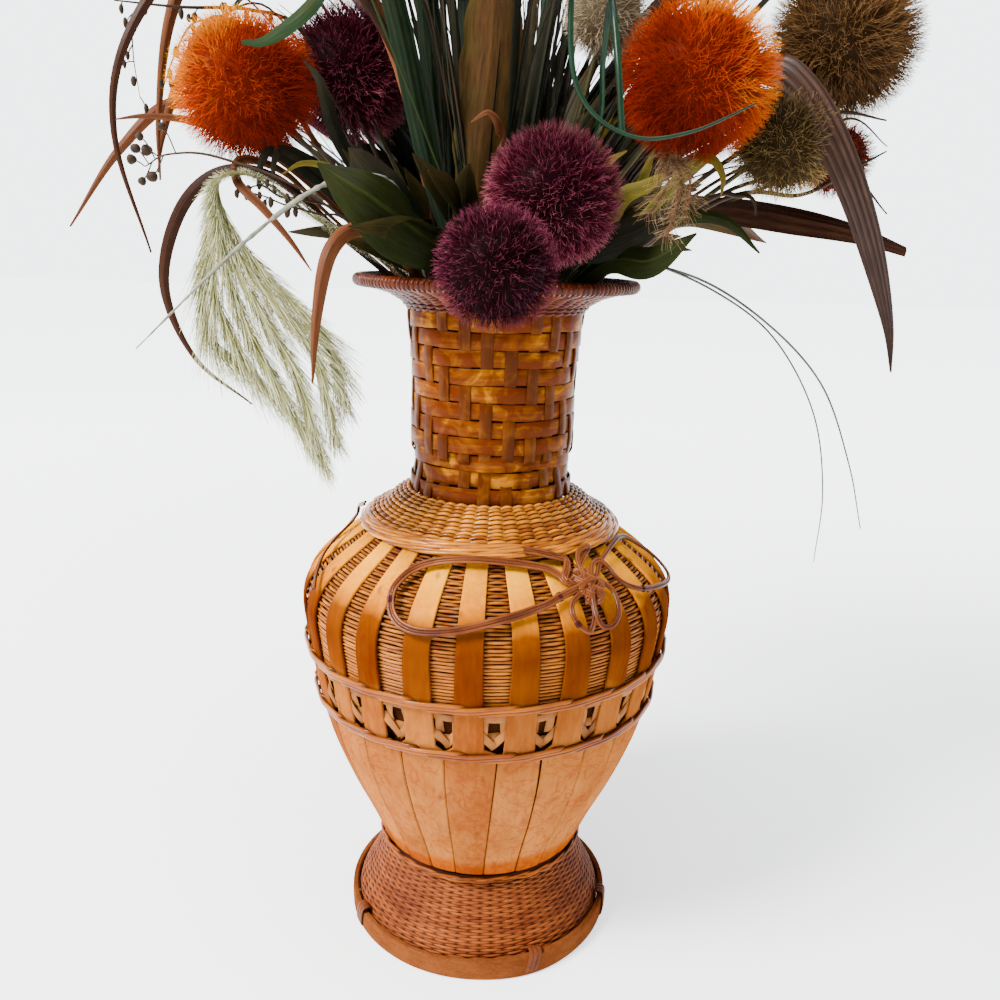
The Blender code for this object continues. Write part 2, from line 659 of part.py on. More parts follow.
def grasses():
    wire = material("green_grass_wire", (0.10, 0.26, 0.13), 0.5)
    grey_wire = material("grey_grass_wire", (0.22, 0.26, 0.24), 0.5)
    lichen = material("lichen_bark", (0.46, 0.46, 0.40), 0.9)
    plume = material("plume_cream", (0.62, 0.60, 0.36), 0.9)
    seed = material("seed_brown", (0.12, 0.07, 0.05), 0.7)
    grass = material("dark_grass", (0.06, 0.055, 0.04), 0.7)
    stalk(
        "grass_wire_loop", (8, 0.018),
        [(0.020, -0.060, 0.540), (0.028, -0.104, 0.560), (0.028, -0.112, 0.500), (0.036, -0.116, 0.475),
         (0.056, -0.121, 0.463), (0.080, -0.121, 0.466), (0.106, -0.119, 0.478)],
        [WIRE_THICK] * 8, wire, sides=3,
    )
    stalk(
        "grass_wire_long_left", (50, 0.034),
        [(0.046, -0.030, 0.411), (0.080, -0.012, 0.4115), (0.120, -0.012, 0.397), (0.152, -0.022, 0.374),
         (0.176, -0.030, 0.335), (0.187, -0.030, 0.290), (0.187, -0.030, 0.248)],
        [WIRE_THICK] * 8, grey_wire, sides=3,
    )
    stalk(
        "grass_wire_long_right", (104, 0.034),
        [(0.062, 0.026, 0.410), (0.114, 0.028, 0.404), (0.158, 0.022, 0.380), (0.196, 0.020, 0.344),
         (0.219, 0.020, 0.296), (0.232, 0.020, 0.254)],
        [WIRE_THICK] * 7, grey_wire, sides=3,
    )
    stalk(
        "lichen_twig", (-56, 0.041),
        [(-0.050, -0.050, 0.442), (-0.078, -0.076, 0.444), (-0.117, -0.086, 0.416), (-0.166, -0.102, 0.366)],
        [0.0018, 0.0018, 0.0020, 0.0016, 0.0005], lichen, sides=5,
    )
    stalk(
        "plume_pampas", (-71, 0.036),
        [(-0.090, -0.032, 0.418), (-0.129, -0.034, 0.445), (-0.140, -0.044, 0.430), (-0.127, -0.054, 0.397),
         (-0.103, -0.066, 0.354), (-0.085, -0.080, 0.306)],
        [0.0014, 0.0014, 0.0030, 0.0120, 0.0200, 0.0165, 0.0030], plume, sides=7,
    )
    stalk(
        "berry_sprig", (-88, 0.031),
        [(-0.090, -0.040, 0.436), (-0.135, -0.056, 0.454), (-0.160, -0.058, 0.455), (-0.172, -0.058, 0.449)],
        [0.0009, 0.0009, 0.0012, 0.0030, 0.001], seed, sides=5,
    )
    stalk(
        "tall_grass_middle", (84, 0.010),
        [(0.018, 0.030, 0.470), (0.036, 0.072, 0.600), (0.052, 0.088, 0.700), (0.066, 0.096, 0.756)],
        [0.0014, 0.0025, 0.0060, 0.0055, 0.001], grass, sides=6,
    )
    stalk(
        "tall_grass_back", (-118, 0.027),
        [(-0.050, 0.050, 0.500), (-0.080, 0.078, 0.620), (-0.108, 0.096, 0.706), (-0.128, 0.108, 0.742)],
        [0.0014, 0.0025, 0.0060, 0.0055, 0.001], grass, sides=6,
    )


for old in list(bpy.data.objects):
    bpy.data.objects.remove(old)

foot_hoop()
foot_skirt()
waist_band()
inner_basket()
bamboo_staves()
band_cane = material("band_cane", (0.50, 0.24, 0.09), 0.45)
woven_band("lower_band", LOWER_BAND, band_cane)
woven_band("upper_band", UPPER_BAND, band_cane)
shoulder_weave()
neck_weave()
collar_weave()
rim_binding()
loop_cane = material("loop_cane", (0.33, 0.14, 0.07), 0.4)
cane_loop("cane_loop_left", LEFT_LOOP, loop_cane)
cane_loop("cane_loop_right", RIGHT_LOOP, loop_cane)
cane_knot(loop_cane)
flowers()
blades()
leaves()
grasses()
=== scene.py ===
"""A dried flower and grass arrangement in a woven split-bamboo basket vase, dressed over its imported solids.

Metres, +Z up. Azimuths are in degrees from the front (-Y), growing towards the right (+X).
"""

import math
import random

import bmesh
import bpy
from mathutils import Matrix, Vector


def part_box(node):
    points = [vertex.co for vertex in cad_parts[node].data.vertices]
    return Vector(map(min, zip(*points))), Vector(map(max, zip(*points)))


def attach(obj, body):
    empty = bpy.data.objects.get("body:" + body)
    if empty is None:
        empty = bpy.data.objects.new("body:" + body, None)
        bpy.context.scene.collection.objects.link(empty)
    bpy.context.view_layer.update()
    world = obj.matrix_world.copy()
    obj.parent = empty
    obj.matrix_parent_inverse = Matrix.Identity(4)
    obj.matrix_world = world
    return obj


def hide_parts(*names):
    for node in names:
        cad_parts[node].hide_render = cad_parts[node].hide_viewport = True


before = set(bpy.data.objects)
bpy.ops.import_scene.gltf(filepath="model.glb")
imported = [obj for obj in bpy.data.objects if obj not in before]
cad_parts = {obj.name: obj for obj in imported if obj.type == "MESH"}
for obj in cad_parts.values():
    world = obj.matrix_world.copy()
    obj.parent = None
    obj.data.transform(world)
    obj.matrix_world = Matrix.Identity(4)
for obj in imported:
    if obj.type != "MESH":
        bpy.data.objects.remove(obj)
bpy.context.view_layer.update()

# Camera, floor and light -----------------------------------------------------------------------------------
# The vase stands on a plain white floor in an even, slightly cool daylight that comes from above the
# viewer's left shoulder, with a weaker light on the other side.

CAMERA_PLACE = (0.0008, -0.5364, 0.4176)
CAMERA_TURN = (-0.55, 74.7, 1.9)

camera = bpy.data.objects.new("front_camera", bpy.data.cameras.new("front_camera"))
camera.data.sensor_width = 36
camera.data.lens = 33.5
camera.data.clip_start = 0.01
turns = [Matrix.Rotation(math.radians(angle), 4, axis) for angle, axis in zip(CAMERA_TURN, "ZXZ")]
camera.matrix_world = Matrix.Translation(CAMERA_PLACE) @ turns[0] @ turns[1] @ turns[2]
bpy.context.scene.collection.objects.link(camera)
bpy.context.scene.camera = camera


def feed(node, inputs):
    """Gives a node's sockets, by name or number, a value, a colour, a socket or another node's first output."""
    for key, value in dict(inputs).items():
        named = [s for s in node.inputs if s.enabled and s.name == key]
        socket = named[0] if named else node.inputs[key]
        if isinstance(value, bpy.types.Node):
            value = next(s for s in value.outputs if s.enabled)
        if isinstance(value, bpy.types.NodeSocket):
            node.id_data.links.new(value, socket)
        else:
            socket.default_value = (*value, 1) if socket.type == "RGBA" else value
    return node


def add_node(tree, kind, inputs=(), **settings):
    """Adds a node to a tree, with its settings and what goes into it."""
    made = tree.nodes.new(kind)
    for name, value in settings.items():
        setattr(made, name, value)
    return feed(made, inputs)


def maths(tree, operation, *values):
    """A step of arithmetic on numbers or sockets."""
    return add_node(tree, "ShaderNodeMath", enumerate(values), operation=operation)


def vectors(tree, operation, *values):
    """A step of arithmetic on vectors."""
    return add_node(tree, "ShaderNodeVectorMath", enumerate(values), operation=operation)


def mapped(tree, value, source, target=(0, 1), **settings):
    """Lays one span of values on another."""
    ends = {"From Min": source[0], "From Max": source[1], "To Min": target[0], "To Max": target[1]}
    return add_node(tree, "ShaderNodeMapRange", {"Value": value, **ends}, **settings)


def new_material(name):
    """An empty node material, as (material, node tree, shader)."""
    made = bpy.data.materials.new(name)
    made.use_nodes = True
    return made, made.node_tree, made.node_tree.nodes["Principled BSDF"]


FLOOR_REACH = 8.0
floor_mesh = bpy.data.meshes.new("floor")
floor_corners = [(x * FLOOR_REACH, y * FLOOR_REACH, 0) for x, y in ((-1, -1), (1, -1), (1, 1), (-1, 1))]
floor_mesh.from_pydata(floor_corners, [], [(0, 1, 2, 3)])
floor = bpy.data.objects.new("floor", floor_mesh)
bpy.context.scene.collection.objects.link(floor)
floor_paint, floor_tree, floor_shader = new_material("white_floor")
floor_place = add_node(floor_tree, "ShaderNodeTexCoord").outputs["Object"]
floor_distance = vectors(floor_tree, "LENGTH", vectors(floor_tree, "ADD", floor_place, (0, 0.5, 0)))
floor_glow = mapped(floor_tree, floor_distance, (0.3, 2.4), (1.35, 4.0), interpolation_type="SMOOTHSTEP")
feed(floor_shader, {
    "Base Color": (0.93, 0.935, 0.94), "Roughness": 0.8, "Emission Color": (0.95, 0.98, 1.0),
    "Emission Strength": floor_glow,
})
floor_mesh.materials.append(floor_paint)


def soft_light(name, place, target, size, power, colour):
    """A square soft box at a place, turned towards a target."""
    box = bpy.data.lights.new(name, "AREA")
    box.size = size
    box.energy = power
    box.color = colour
    lamp = bpy.data.objects.new(name, box)
    lamp.location = place
    lamp.rotation_euler = (Vector(target) - Vector(place)).to_track_quat("-Z", "Y").to_euler()
    bpy.context.scene.collection.objects.link(lamp)


soft_light("window_left", (-1.3, -0.8, 1.75), (0, 0, 0.3), 0.7, 168, (1.0, 0.985, 0.96))
soft_light("ceiling", (0.1, -0.3, 1.9), (0, 0, 0.2), 0.9, 26, (0.96, 0.98, 1.0))
soft_light("fill_right", (1.5, -0.9, 0.8), (0, 0, 0.3), 1.2, 1.5, (0.95, 0.97, 1.0))

sky = bpy.data.worlds.new("pale_room")
bpy.context.scene.world = sky
sky.use_nodes = True
sky_side = add_node(sky.node_tree, "ShaderNodeTexCoord").outputs["Generated"]
sky_axes = add_node(sky.node_tree, "ShaderNodeSeparateXYZ", {0: sky_side})
sky_back = vectors(sky.node_tree, "DOT_PRODUCT", sky_side, (-0.35, 0.94, 0))
wall_glow = mapped(sky.node_tree, sky_axes.outputs["Z"], (0.26, 0.45), (4.4, 0.4))
wall_side = mapped(sky.node_tree, sky_back, (-0.5, 0.6), (0.22, 1))
feed(sky.node_tree.nodes["Background"], {
    "Color": (0.93, 0.97, 1.0), "Strength": maths(sky.node_tree, "MULTIPLY", wall_glow, wall_side),
})


# Foot hoop --------------------------------------------------------------------------------------------------
# A flat split of bamboo bent into the ring that the vase stands on, its hard skin outward and its two
# thinned ends lapped. It is lashed to the skirt with three short ties of cane.

STAVE_COUNT = 24
STAVE_PITCH = 360 / STAVE_COUNT
FRONT_STAVE = -4.0
FLAT = math.cos(math.radians(STAVE_PITCH / 2))
HOOP_TIES = (24, 76, -62, 150, -145)


def polar(azimuth, radius, height):
    """The point at an azimuth, a distance from the vase's axis and a height."""
    angle = math.radians(azimuth)
    return Vector((radius * math.sin(angle), -radius * math.cos(angle), height))


def value_at(table, place):
    """Reads a smooth curve through (place, value) pairs."""
    last = len(table) - 1
    if place <= table[0][0]:
        return table[0][1]
    if place >= table[last][0]:
        return table[last][1]
    span = next(i for i in range(last) if table[i + 1][0] >= place)
    before, after = max(span - 1, 0), min(span + 2, last)
    (x0, y0), (x1, y1) = table[span], table[span + 1]
    slope0 = (y1 - table[before][1]) / (x1 - table[before][0])
    slope1 = (table[after][1] - y0) / (table[after][0] - x0)
    h = x1 - x0
    t = (place - x0) / h
    ends = (1 + 2 * t) * (1 - t) ** 2 * y0 + t * t * (3 - 2 * t) * y1
    return ends + t * (1 - t) ** 2 * h * slope0 + t * t * (t - 1) * h * slope1


def outline(node):
    """(height, radius) pairs of a ring-shaped solid's outer face, at each of its levels."""
    front = polar(FRONT_STAVE, 1, 0)
    reach = {}
    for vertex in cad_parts[node].data.vertices:
        level = round(vertex.co.z, 4)
        reach[level] = max(reach.get(level, 0.0), vertex.co.dot(front) / FLAT)
    return sorted(reach.items())


def plain_mesh(name, shape, finish, smooth_angle=40):
    """Makes a bmesh into a shaded object whose place is in its mesh."""
    bmesh.ops.recalc_face_normals(shape, faces=shape.faces)
    mesh = bpy.data.meshes.new(name)
    shape.to_mesh(mesh)
    shape.free()
    mesh.shade_smooth()
    mesh.set_sharp_from_angle(angle=math.radians(smooth_angle))
    mesh.materials.append(finish)
    made = bpy.data.objects.new(name, mesh)
    bpy.context.scene.collection.objects.link(made)
    return made


def turned(name, section, finish, steps=192, bend=None):
    """Turns a closed section of (radius, height) points round the axis. bend moves a point by its azimuth."""
    shape = bmesh.new()
    rings = []
    for k in range(steps):
        azimuth = 360 * k / steps
        ring = []
        for radius, height in section:
            if bend:
                radius, height = bend(azimuth, radius, height)
            ring.append(shape.verts.new(polar(azimuth, radius, height)))
        rings.append(ring)
    for k, ring in enumerate(rings):
        ahead = rings[(k + 1) % steps]
        for i, vertex in enumerate(ring):
            j = (i + 1) % len(ring)
            shape.faces.new((vertex, ahead[i], ahead[j], ring[j]))
    return plain_mesh(name, shape, finish)


def attribute(tree, name, output="Fac"):
    """A value that the mesh brings with it."""
    return add_node(tree, "ShaderNodeAttribute", attribute_name=name).outputs[output]


def in_piece(tree):
    """The place of a point in its piece."""
    return add_node(tree, "ShaderNodeTexCoord").outputs["Object"]


def scaled(tree, vector, share):
    """A vector or a colour, times a number."""
    return add_node(tree, "ShaderNodeVectorMath", {0: vector, "Scale": share}, operation="SCALE")


def noise(tree, place, scale, detail, **more):
    """Soft noise from 0 to 1."""
    return add_node(tree, "ShaderNodeTexNoise", {"Vector": place, "Scale": scale, "Detail": detail, **more})


def blend(tree, share, first, second):
    """A share of the way from one colour to another."""
    return add_node(tree, "ShaderNodeMix", {0: share, 6: first, 7: second}, data_type="RGBA")


def colour_ramp(tree, share, stops):
    """A ramp through (place, colour) stops, its two ends first."""
    ramp = add_node(tree, "ShaderNodeValToRGB", {"Fac": share})
    for k, (at, colour) in enumerate(stops):
        stop = ramp.color_ramp.elements[k] if k < 2 else ramp.color_ramp.elements.new(at)
        stop.position, stop.color = at, (*colour, 1)
    return ramp


def relief(tree, height, strength, distance):
    """Fine unevenness that only the light shows."""
    return add_node(tree, "ShaderNodeBump", {"Height": height, "Strength": strength, "Distance": distance})


def bamboo_finish(name, light, dark, stretch, gloss, spots, stains=0.0, by_height=(), matt_below=0.0):
    """Split bamboo under varnish: long fibres, soft mottling, a tone for each strip and a shade for each height.

    stretch squeezes the grain along the axes it doesn't run along. by_height holds (height, light, dark) rows.
    The varnish is worn matt below the height matt_below.
    """
    made, tree, shader = new_material(name)
    place, tone = in_piece(tree), attribute(tree, "tone")
    moved = vectors(tree, "ADD", place, scaled(tree, (3.1, 1.7, 5.3), tone))
    squeezed = add_node(tree, "ShaderNodeMapping", {"Vector": moved, "Scale": stretch})
    fibre = noise(tree, squeezed, 420, 4, Roughness=0.6)
    cloud = noise(tree, squeezed, 60, 3, Roughness=0.7)
    blotch = noise(tree, moved, 34, 2)
    height = add_node(tree, "ShaderNodeSeparateXYZ", {0: place}).outputs["Z"]
    if by_height:
        low, high = by_height[0][0], by_height[-1][0]
        uneven = maths(tree, "ADD", maths(tree, "MULTIPLY_ADD", blotch, 0.020, height), -0.010)
        share = mapped(tree, uneven, (low, high))
        rows = [((row[0] - low) / (high - low), *row[1:]) for row in by_height]
        light = colour_ramp(tree, share, [(at, colour) for at, colour, _ in rows])
        dark = colour_ramp(tree, share, [(at, colour) for at, _, colour in rows])
    amount = maths(tree, "ADD", maths(tree, "ADD", fibre, cloud), blotch)
    toned = maths(tree, "MULTIPLY_ADD", tone, 0.45, amount)
    colour = blend(tree, mapped(tree, toned, (1.30, 2.15)), light, dark)
    if spots:
        few = mapped(tree, noise(tree, squeezed, 150, 1), (0.68, 0.78))
        colour = blend(tree, maths(tree, "MULTIPLY", few, spots), colour, (0.05, 0.018, 0.008))
    if stains:
        curl = maths(tree, "ADD", noise(tree, place, 48, 3, Distortion=1.6), -0.5)
        line = mapped(tree, maths(tree, "ABSOLUTE", curl), (0, 0.035), (stains, 0))
        below = mapped(tree, height, (0.186, 0.150))
        colour = blend(tree, maths(tree, "MULTIPLY", line, below), colour, (0.20, 0.026, 0.006))
    worn = mapped(tree, height, (matt_below - 0.02, matt_below + 0.02), (0.3, 0))
    rough = mapped(tree, cloud, (0, 1), (gloss - 0.06, gloss + 0.14))
    feed(shader, {
        "Base Color": colour, "Roughness": maths(tree, "ADD", rough, worn), "Specular IOR Level": 0.0,
        "Coat Weight": 0.012, "Coat Roughness": 0.12, "Normal": relief(tree, fibre, 0.25, 0.0004),
    })
    return made


_, hoop_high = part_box("foot_hoop")
HOOP_OUT = hoop_high.x
HOOP_TOP = hoop_high.z
HOOP_IN = HOOP_OUT - 0.0036
HOOP_EDGE = 0.0008


def hoop_bend(azimuth, radius, height):
    """Hand-split wood: the hoop is a little uneven, and its lap is thicker where the two ends meet."""
    a = math.radians(azimuth)
    lap = 0.0011 * math.exp(-(((azimuth - HOOP_TIES[0] + 180) % 360 - 180) / 16) ** 2)
    radius += (lap if radius > HOOP_IN + HOOP_EDGE else 0) - 0.0007
    if height > HOOP_TOP / 2:
        height += 0.0005 * math.sin(2 * a + 1) + 0.0003 * math.sin(5 * a)
    return radius, height


hoop_finish = bamboo_finish(
    "hoop_bamboo", (0.165, 0.048, 0.012), (0.065, 0.013, 0.003), (1, 1, 3), gloss=0.38, spots=0.3,
)
hoop_section = [
    (HOOP_IN, 0.0), (HOOP_OUT - HOOP_EDGE, 0.0), (HOOP_OUT, HOOP_EDGE), (HOOP_OUT + 0.0002, HOOP_TOP / 2),
    (HOOP_OUT, HOOP_TOP - HOOP_EDGE), (HOOP_OUT - HOOP_EDGE, HOOP_TOP), (HOOP_IN + HOOP_EDGE, HOOP_TOP),
    (HOOP_IN, HOOP_TOP - HOOP_EDGE),
]
hoop = turned("hoop", hoop_section, hoop_finish, bend=hoop_bend)
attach(hoop, "root")
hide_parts("foot_hoop")


def add_sockets(tree, sockets):
    """Gives a node tree its named inputs and its one output."""
    kinds = {"Geometry": "NodeSocketGeometry", "Finish": "NodeSocketMaterial", "Pattern": "NodeSocketObject"}
    for name, value in sockets.items():
        kind = kinds.get(name) or ("NodeSocketInt" if isinstance(value, int) else "NodeSocketFloat")
        made = tree.interface.new_socket(name=name, in_out="INPUT", socket_type=kind)
        if value is not None:
            made.default_value = value
    tree.interface.new_socket(name="Geometry", in_out="OUTPUT", socket_type="NodeSocketGeometry")
    return tree.nodes.new("NodeGroupInput").outputs


def end_tree(tree, geometry, finish):
    """Ends a node tree in plain faces that carry their material."""
    smooth = add_node(tree, "GeometryNodeSetShadeSmooth", {"Geometry": geometry})
    real = add_node(tree, "GeometryNodeRealizeInstances", {"Geometry": smooth})
    painted = add_node(tree, "GeometryNodeSetMaterial", {"Geometry": real, "Material": finish})
    tree.links.new(painted.outputs[0], tree.nodes.new("NodeGroupOutput").inputs[0])


def store(tree, geometry, name, value, domain="POINT"):
    """Writes a value on a geometry under a name."""
    return add_node(
        tree, "GeometryNodeStoreNamedAttribute", {"Geometry": geometry, "Name": name, "Value": value},
        data_type="FLOAT", domain=domain,
    )


def circle(tree, sides, radius=0.5):
    """A flat ring with a number of sides."""
    return add_node(tree, "GeometryNodeCurvePrimitiveCircle", {"Resolution": sides, "Radius": radius})


def along_lines(tree, line, section, scale, capped=True):
    """Draws a section out along lines."""
    return add_node(
        tree, "GeometryNodeCurveToMesh",
        {"Curve": line, "Profile Curve": section, "Scale": scale, "Fill Caps": capped},
    )


def cane_tree(name, flat):
    """A tree that lays cane along every line of a bare edge mesh, round or as a flat split with eased edges.

    Each point's outward direction, thickness share and tone come with the mesh, as out, swell and tone.
    """
    tree = bpy.data.node_groups.new(name, "GeometryNodeTree")
    given = add_sockets(tree, {"Geometry": None, "Width": 0.002, "Thickness": 0.002, "Sides": 6, "Finish": None})
    line = add_node(tree, "GeometryNodeMeshToCurve", {"Mesh": given["Geometry"]})
    out = add_node(tree, "GeometryNodeInputNamedAttribute", {"Name": "out"}, data_type="FLOAT_VECTOR")
    faced = add_node(tree, "GeometryNodeSetCurveNormal", {"Curve": line, "Normal": out}, mode="FREE")
    swell = add_node(tree, "GeometryNodeInputNamedAttribute", {"Name": "swell"}, data_type="FLOAT")
    if flat:
        board = add_node(
            tree, "GeometryNodeCurvePrimitiveQuadrilateral", {"Width": given["Thickness"], "Height": given["Width"]},
        )
        eased = maths(tree, "MULTIPLY", given["Thickness"], 0.3)
        section = add_node(tree, "GeometryNodeFilletCurve", {"Curve": board, "Radius": eased, "Limit Radius": True})
    else:
        scale = add_node(tree, "ShaderNodeCombineXYZ", {0: given["Thickness"], 1: given["Width"], 2: 1.0})
        section = add_node(tree, "GeometryNodeTransform", {"Geometry": circle(tree, given["Sides"]), "Scale": scale})
    across = add_node(tree, "ShaderNodeSeparateXYZ", {0: add_node(tree, "GeometryNodeInputPosition")}).outputs["X"]
    face = maths(tree, "DIVIDE", across, maths(tree, "MULTIPLY", given["Thickness"], 0.5))
    end_tree(tree, along_lines(tree, faced, store(tree, section, "face", face), swell), given["Finish"])
    return tree


round_cane = cane_tree("round_cane", flat=False)
flat_cane = cane_tree("flat_cane", flat=True)


def line_mesh(name, strands):
    """A mesh of bare edges. A strand is (points, outward directions, tone, closed, swells or None).

    Its tone may be a pair, the tone and how deep in the weave each of its points lies, from 0 to 1.
    """
    places, edges, outs, tones, swells, alongs, depths = [], [], [], [], [], [], []
    for points, outward, tone, closed, swell in strands:
        first, count, length = len(places), len(points), 0.0
        tone, depth = tone if isinstance(tone, tuple) else (tone, [0.0] * count)
        depths += depth
        for k, point in enumerate(points):
            if k:
                length += (Vector(point) - Vector(points[k - 1])).length
                edges.append((first + k - 1, first + k))
            alongs.append(length)
        if closed:
            edges.append((first + count - 1, first))
        places += [tuple(point) for point in points]
        outs += [tuple(direction) for direction in outward]
        tones += [tone] * count
        swells += list(swell) if swell else [1.0] * count
    mesh = bpy.data.meshes.new(name)
    mesh.from_pydata(places, edges, [])
    flat_outs = [number for direction in outs for number in direction]
    mesh.attributes.new("out", "FLOAT_VECTOR", "POINT").data.foreach_set("vector", flat_outs)
    for key, values in (("tone", tones), ("swell", swells), ("along", alongs), ("depth", depths)):
        mesh.attributes.new(key, "FLOAT", "POINT").data.foreach_set("value", values)
    return mesh


def grow(name, mesh, tree, sizes):
    """Runs a node tree on a mesh and keeps what it makes as a plain object at the origin."""
    made = bpy.data.objects.new(name, mesh)
    bpy.context.scene.collection.objects.link(made)
    modifier = made.modifiers.new(name, "NODES")
    modifier.node_group = tree
    for item in tree.interface.items_tree:
        if item.in_out == "INPUT" and item.name in sizes:
            modifier[item.identifier] = sizes[item.name]
    graph = bpy.context.evaluated_depsgraph_get()
    result = bpy.data.meshes.new_from_object(
        made.evaluated_get(graph), preserve_all_data_layers=True, depsgraph=graph,
    )
    made.modifiers.clear()
    made.data = result
    result.name = name
    bpy.data.meshes.remove(mesh)
    return made


def lay(name, strands, tree, sizes):
    """Runs a node tree on a mesh of bare strands."""
    return grow(name, line_mesh(name, strands), tree, sizes)


def lay_cane(name, strands, finish, width, thickness, sides=None):
    """Lays cane along strands: round with so many sides, or a flat split."""
    sizes = {"Width": width, "Thickness": thickness, "Finish": finish}
    return lay(name, strands, round_cane, {**sizes, "Sides": sides}) if sides else lay(
        name, strands, flat_cane, sizes,
    )


def cane_finish(name, light, dark, gloss, coat, patch=90.0, groove_shade=0.7):
    """Varnished cane: a tone for each strand, and lighter and darker stretches along it.

    The sides of each strand, the grooves between strands and the places where they dive are darker, a painted shade.
    """
    made, tree, shader = new_material(name)
    place, tone = in_piece(tree), attribute(tree, "tone")
    walk = add_node(tree, "ShaderNodeCombineXYZ", {0: attribute(tree, "along"), 1: tone})
    stretch = noise(tree, walk, patch, 3)
    toned = maths(tree, "MULTIPLY_ADD", tone, 0.35, maths(tree, "ADD", stretch, noise(tree, place, 30, 3)))
    base = blend(tree, mapped(tree, toned, (0.85, 1.50)), light, dark)
    # painted shade: each strand is darkened on its sides, in the grooves, and where it lies deep in the weave
    side_shade = mapped(tree, attribute(tree, "face"), (-0.3, 0.75), (1 - groove_shade, 1))
    dive_shade = mapped(tree, attribute(tree, "depth"), (0, 1), (1, 0.12))
    feed(shader, {
        "Base Color": scaled(tree, base, maths(tree, "MULTIPLY", side_shade, dive_shade)),
        "Roughness": mapped(tree, stretch, (0, 1), (gloss - 0.08, gloss + 0.12)),
        "Specular IOR Level": 0.08, "Coat Weight": coat * 0.2, "Coat Roughness": 0.14,
        "Normal": relief(tree, noise(tree, place, 900, 2), 0.2, 0.0003),
    })
    return made


TIE_PITCH = 0.0027


def lashing(azimuth, turns, low, high, inner, outer, lean):
    """The strands of a tie: flat loops of cane side by side round a hoop's section."""
    strands = []
    for k in range(turns):
        side = azimuth + math.degrees((k - (turns - 1) / 2) * TIE_PITCH / outer)
        middle = ((inner + outer) / 2, (low + high) / 2)
        half = ((outer - inner) / 2 + 0.0006, (high - low) / 2 + 0.0006)
        points, outs = [], []
        for i in range(20):
            a = math.tau * i / 20
            boxed = [math.copysign(abs(v) ** 0.55, v) for v in (math.cos(a), math.sin(a))]
            turn = side + lean * boxed[1]
            points.append(polar(turn, middle[0] + half[0] * boxed[0], middle[1] + half[1] * boxed[1]))
            outs.append(polar(turn, math.cos(a), math.sin(a)))
        strands.append((points, outs, 0.3 * k, True, None))
    return strands


tie_finish = cane_finish("tie_cane", (0.15, 0.036, 0.008), (0.05, 0.010, 0.003), gloss=0.5, coat=0.0)
tie_strands = []
for azimuth in HOOP_TIES:
    tie_strands += lashing(azimuth, 3, 0.0014, HOOP_TOP + 0.0028, HOOP_IN - 0.0012, HOOP_OUT - 0.0002, lean=1.2)
hoop_lashings = lay_cane("hoop_lashings", tie_strands, tie_finish, 0.0026, 0.0009)
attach(hoop_lashings, "root")


# Foot skirt --------------------------------------------------------------------------------------------------
# The flaring foot is woven: one thin brown cane to each row passes before one upright spoke and behind
# the next, row upon row, from the waist down to the hoop.

ROW_POINTS = 8


def rows_along(table, pitch, ease=0.0):
    """(radius, height, outward radial share, outward upward share) of rows laid at equal steps along a profile."""
    walk = []
    low, high = table[0][0] + ease, table[-1][0] - ease
    for k in range(401):
        height = low + (high - low) * k / 400
        walk.append((value_at(table, height), height))
    lengths = [0.0]
    for (r0, z0), (r1, z1) in zip(walk, walk[1:]):
        lengths.append(lengths[-1] + math.hypot(r1 - r0, z1 - z0))
    count = max(int(lengths[-1] / pitch), 1)
    rows = []
    for row in range(count + 1):
        want = lengths[-1] * row / count
        k = min(next((i for i, length in enumerate(lengths) if length >= want), 400), 399)
        (r0, z0), (r1, z1) = walk[k], walk[k + 1]
        size = math.hypot(r1 - r0, z1 - z0)
        rows.append((*walk[k], (z1 - z0) / size, -(r1 - r0) / size))
    return rows


def woven_strand(row, wave, tone, points, first=0.0):
    """One closed strand round a row. wave gives (outward offset, offset along the wall) at an azimuth.

    It may give the strand's depth in the weave as well.
    """
    radius, height, level, rise = row
    places, outs, depths = [], [], []
    for k in range(points):
        azimuth = first + 360 * k / points
        lift, slide, *depth = wave(azimuth)
        depths.append(depth[0] if depth else 0.0)
        r = radius + lift * level - slide * rise
        z = height + lift * rise + slide * level
        places.append(polar(azimuth, r, z))
        outs.append(polar(azimuth, level, rise))
    return places, outs, (tone, depths), True, None


def twined_rows(rows, spokes, depth, cross, seed):
    """Two strands to each row. They pass before and behind the spokes in turn and cross between them."""
    chance = random.Random(seed)
    strands = []
    for row in rows:
        lag = chance.uniform(-0.16, 0.16)
        for strand in range(2):
            phase = math.pi * strand + lag

            def wave(azimuth):
                turn = math.radians(azimuth - FRONT_STAVE) * spokes / 2 + phase
                # The third value, how deep the strand lies, becomes painted shade in cane_finish.
                return depth * math.cos(turn), cross * math.sin(turn), 0.85 * (0.5 - 0.5 * math.cos(turn)) ** 0.8

            strands.append(woven_strand(row, wave, chance.random(), spokes * ROW_POINTS // 2))
    return strands


skirt_profile = outline("foot_skirt")
skirt_finish = cane_finish(
    "skirt_cane", (0.27, 0.068, 0.013), (0.115, 0.021, 0.005), gloss=0.5, coat=0.1, patch=60.0, groove_shade=0.4,
)
skirt_rows = rows_along([(z, r - 0.0015) for z, r in skirt_profile], 0.00145, ease=0.0008)


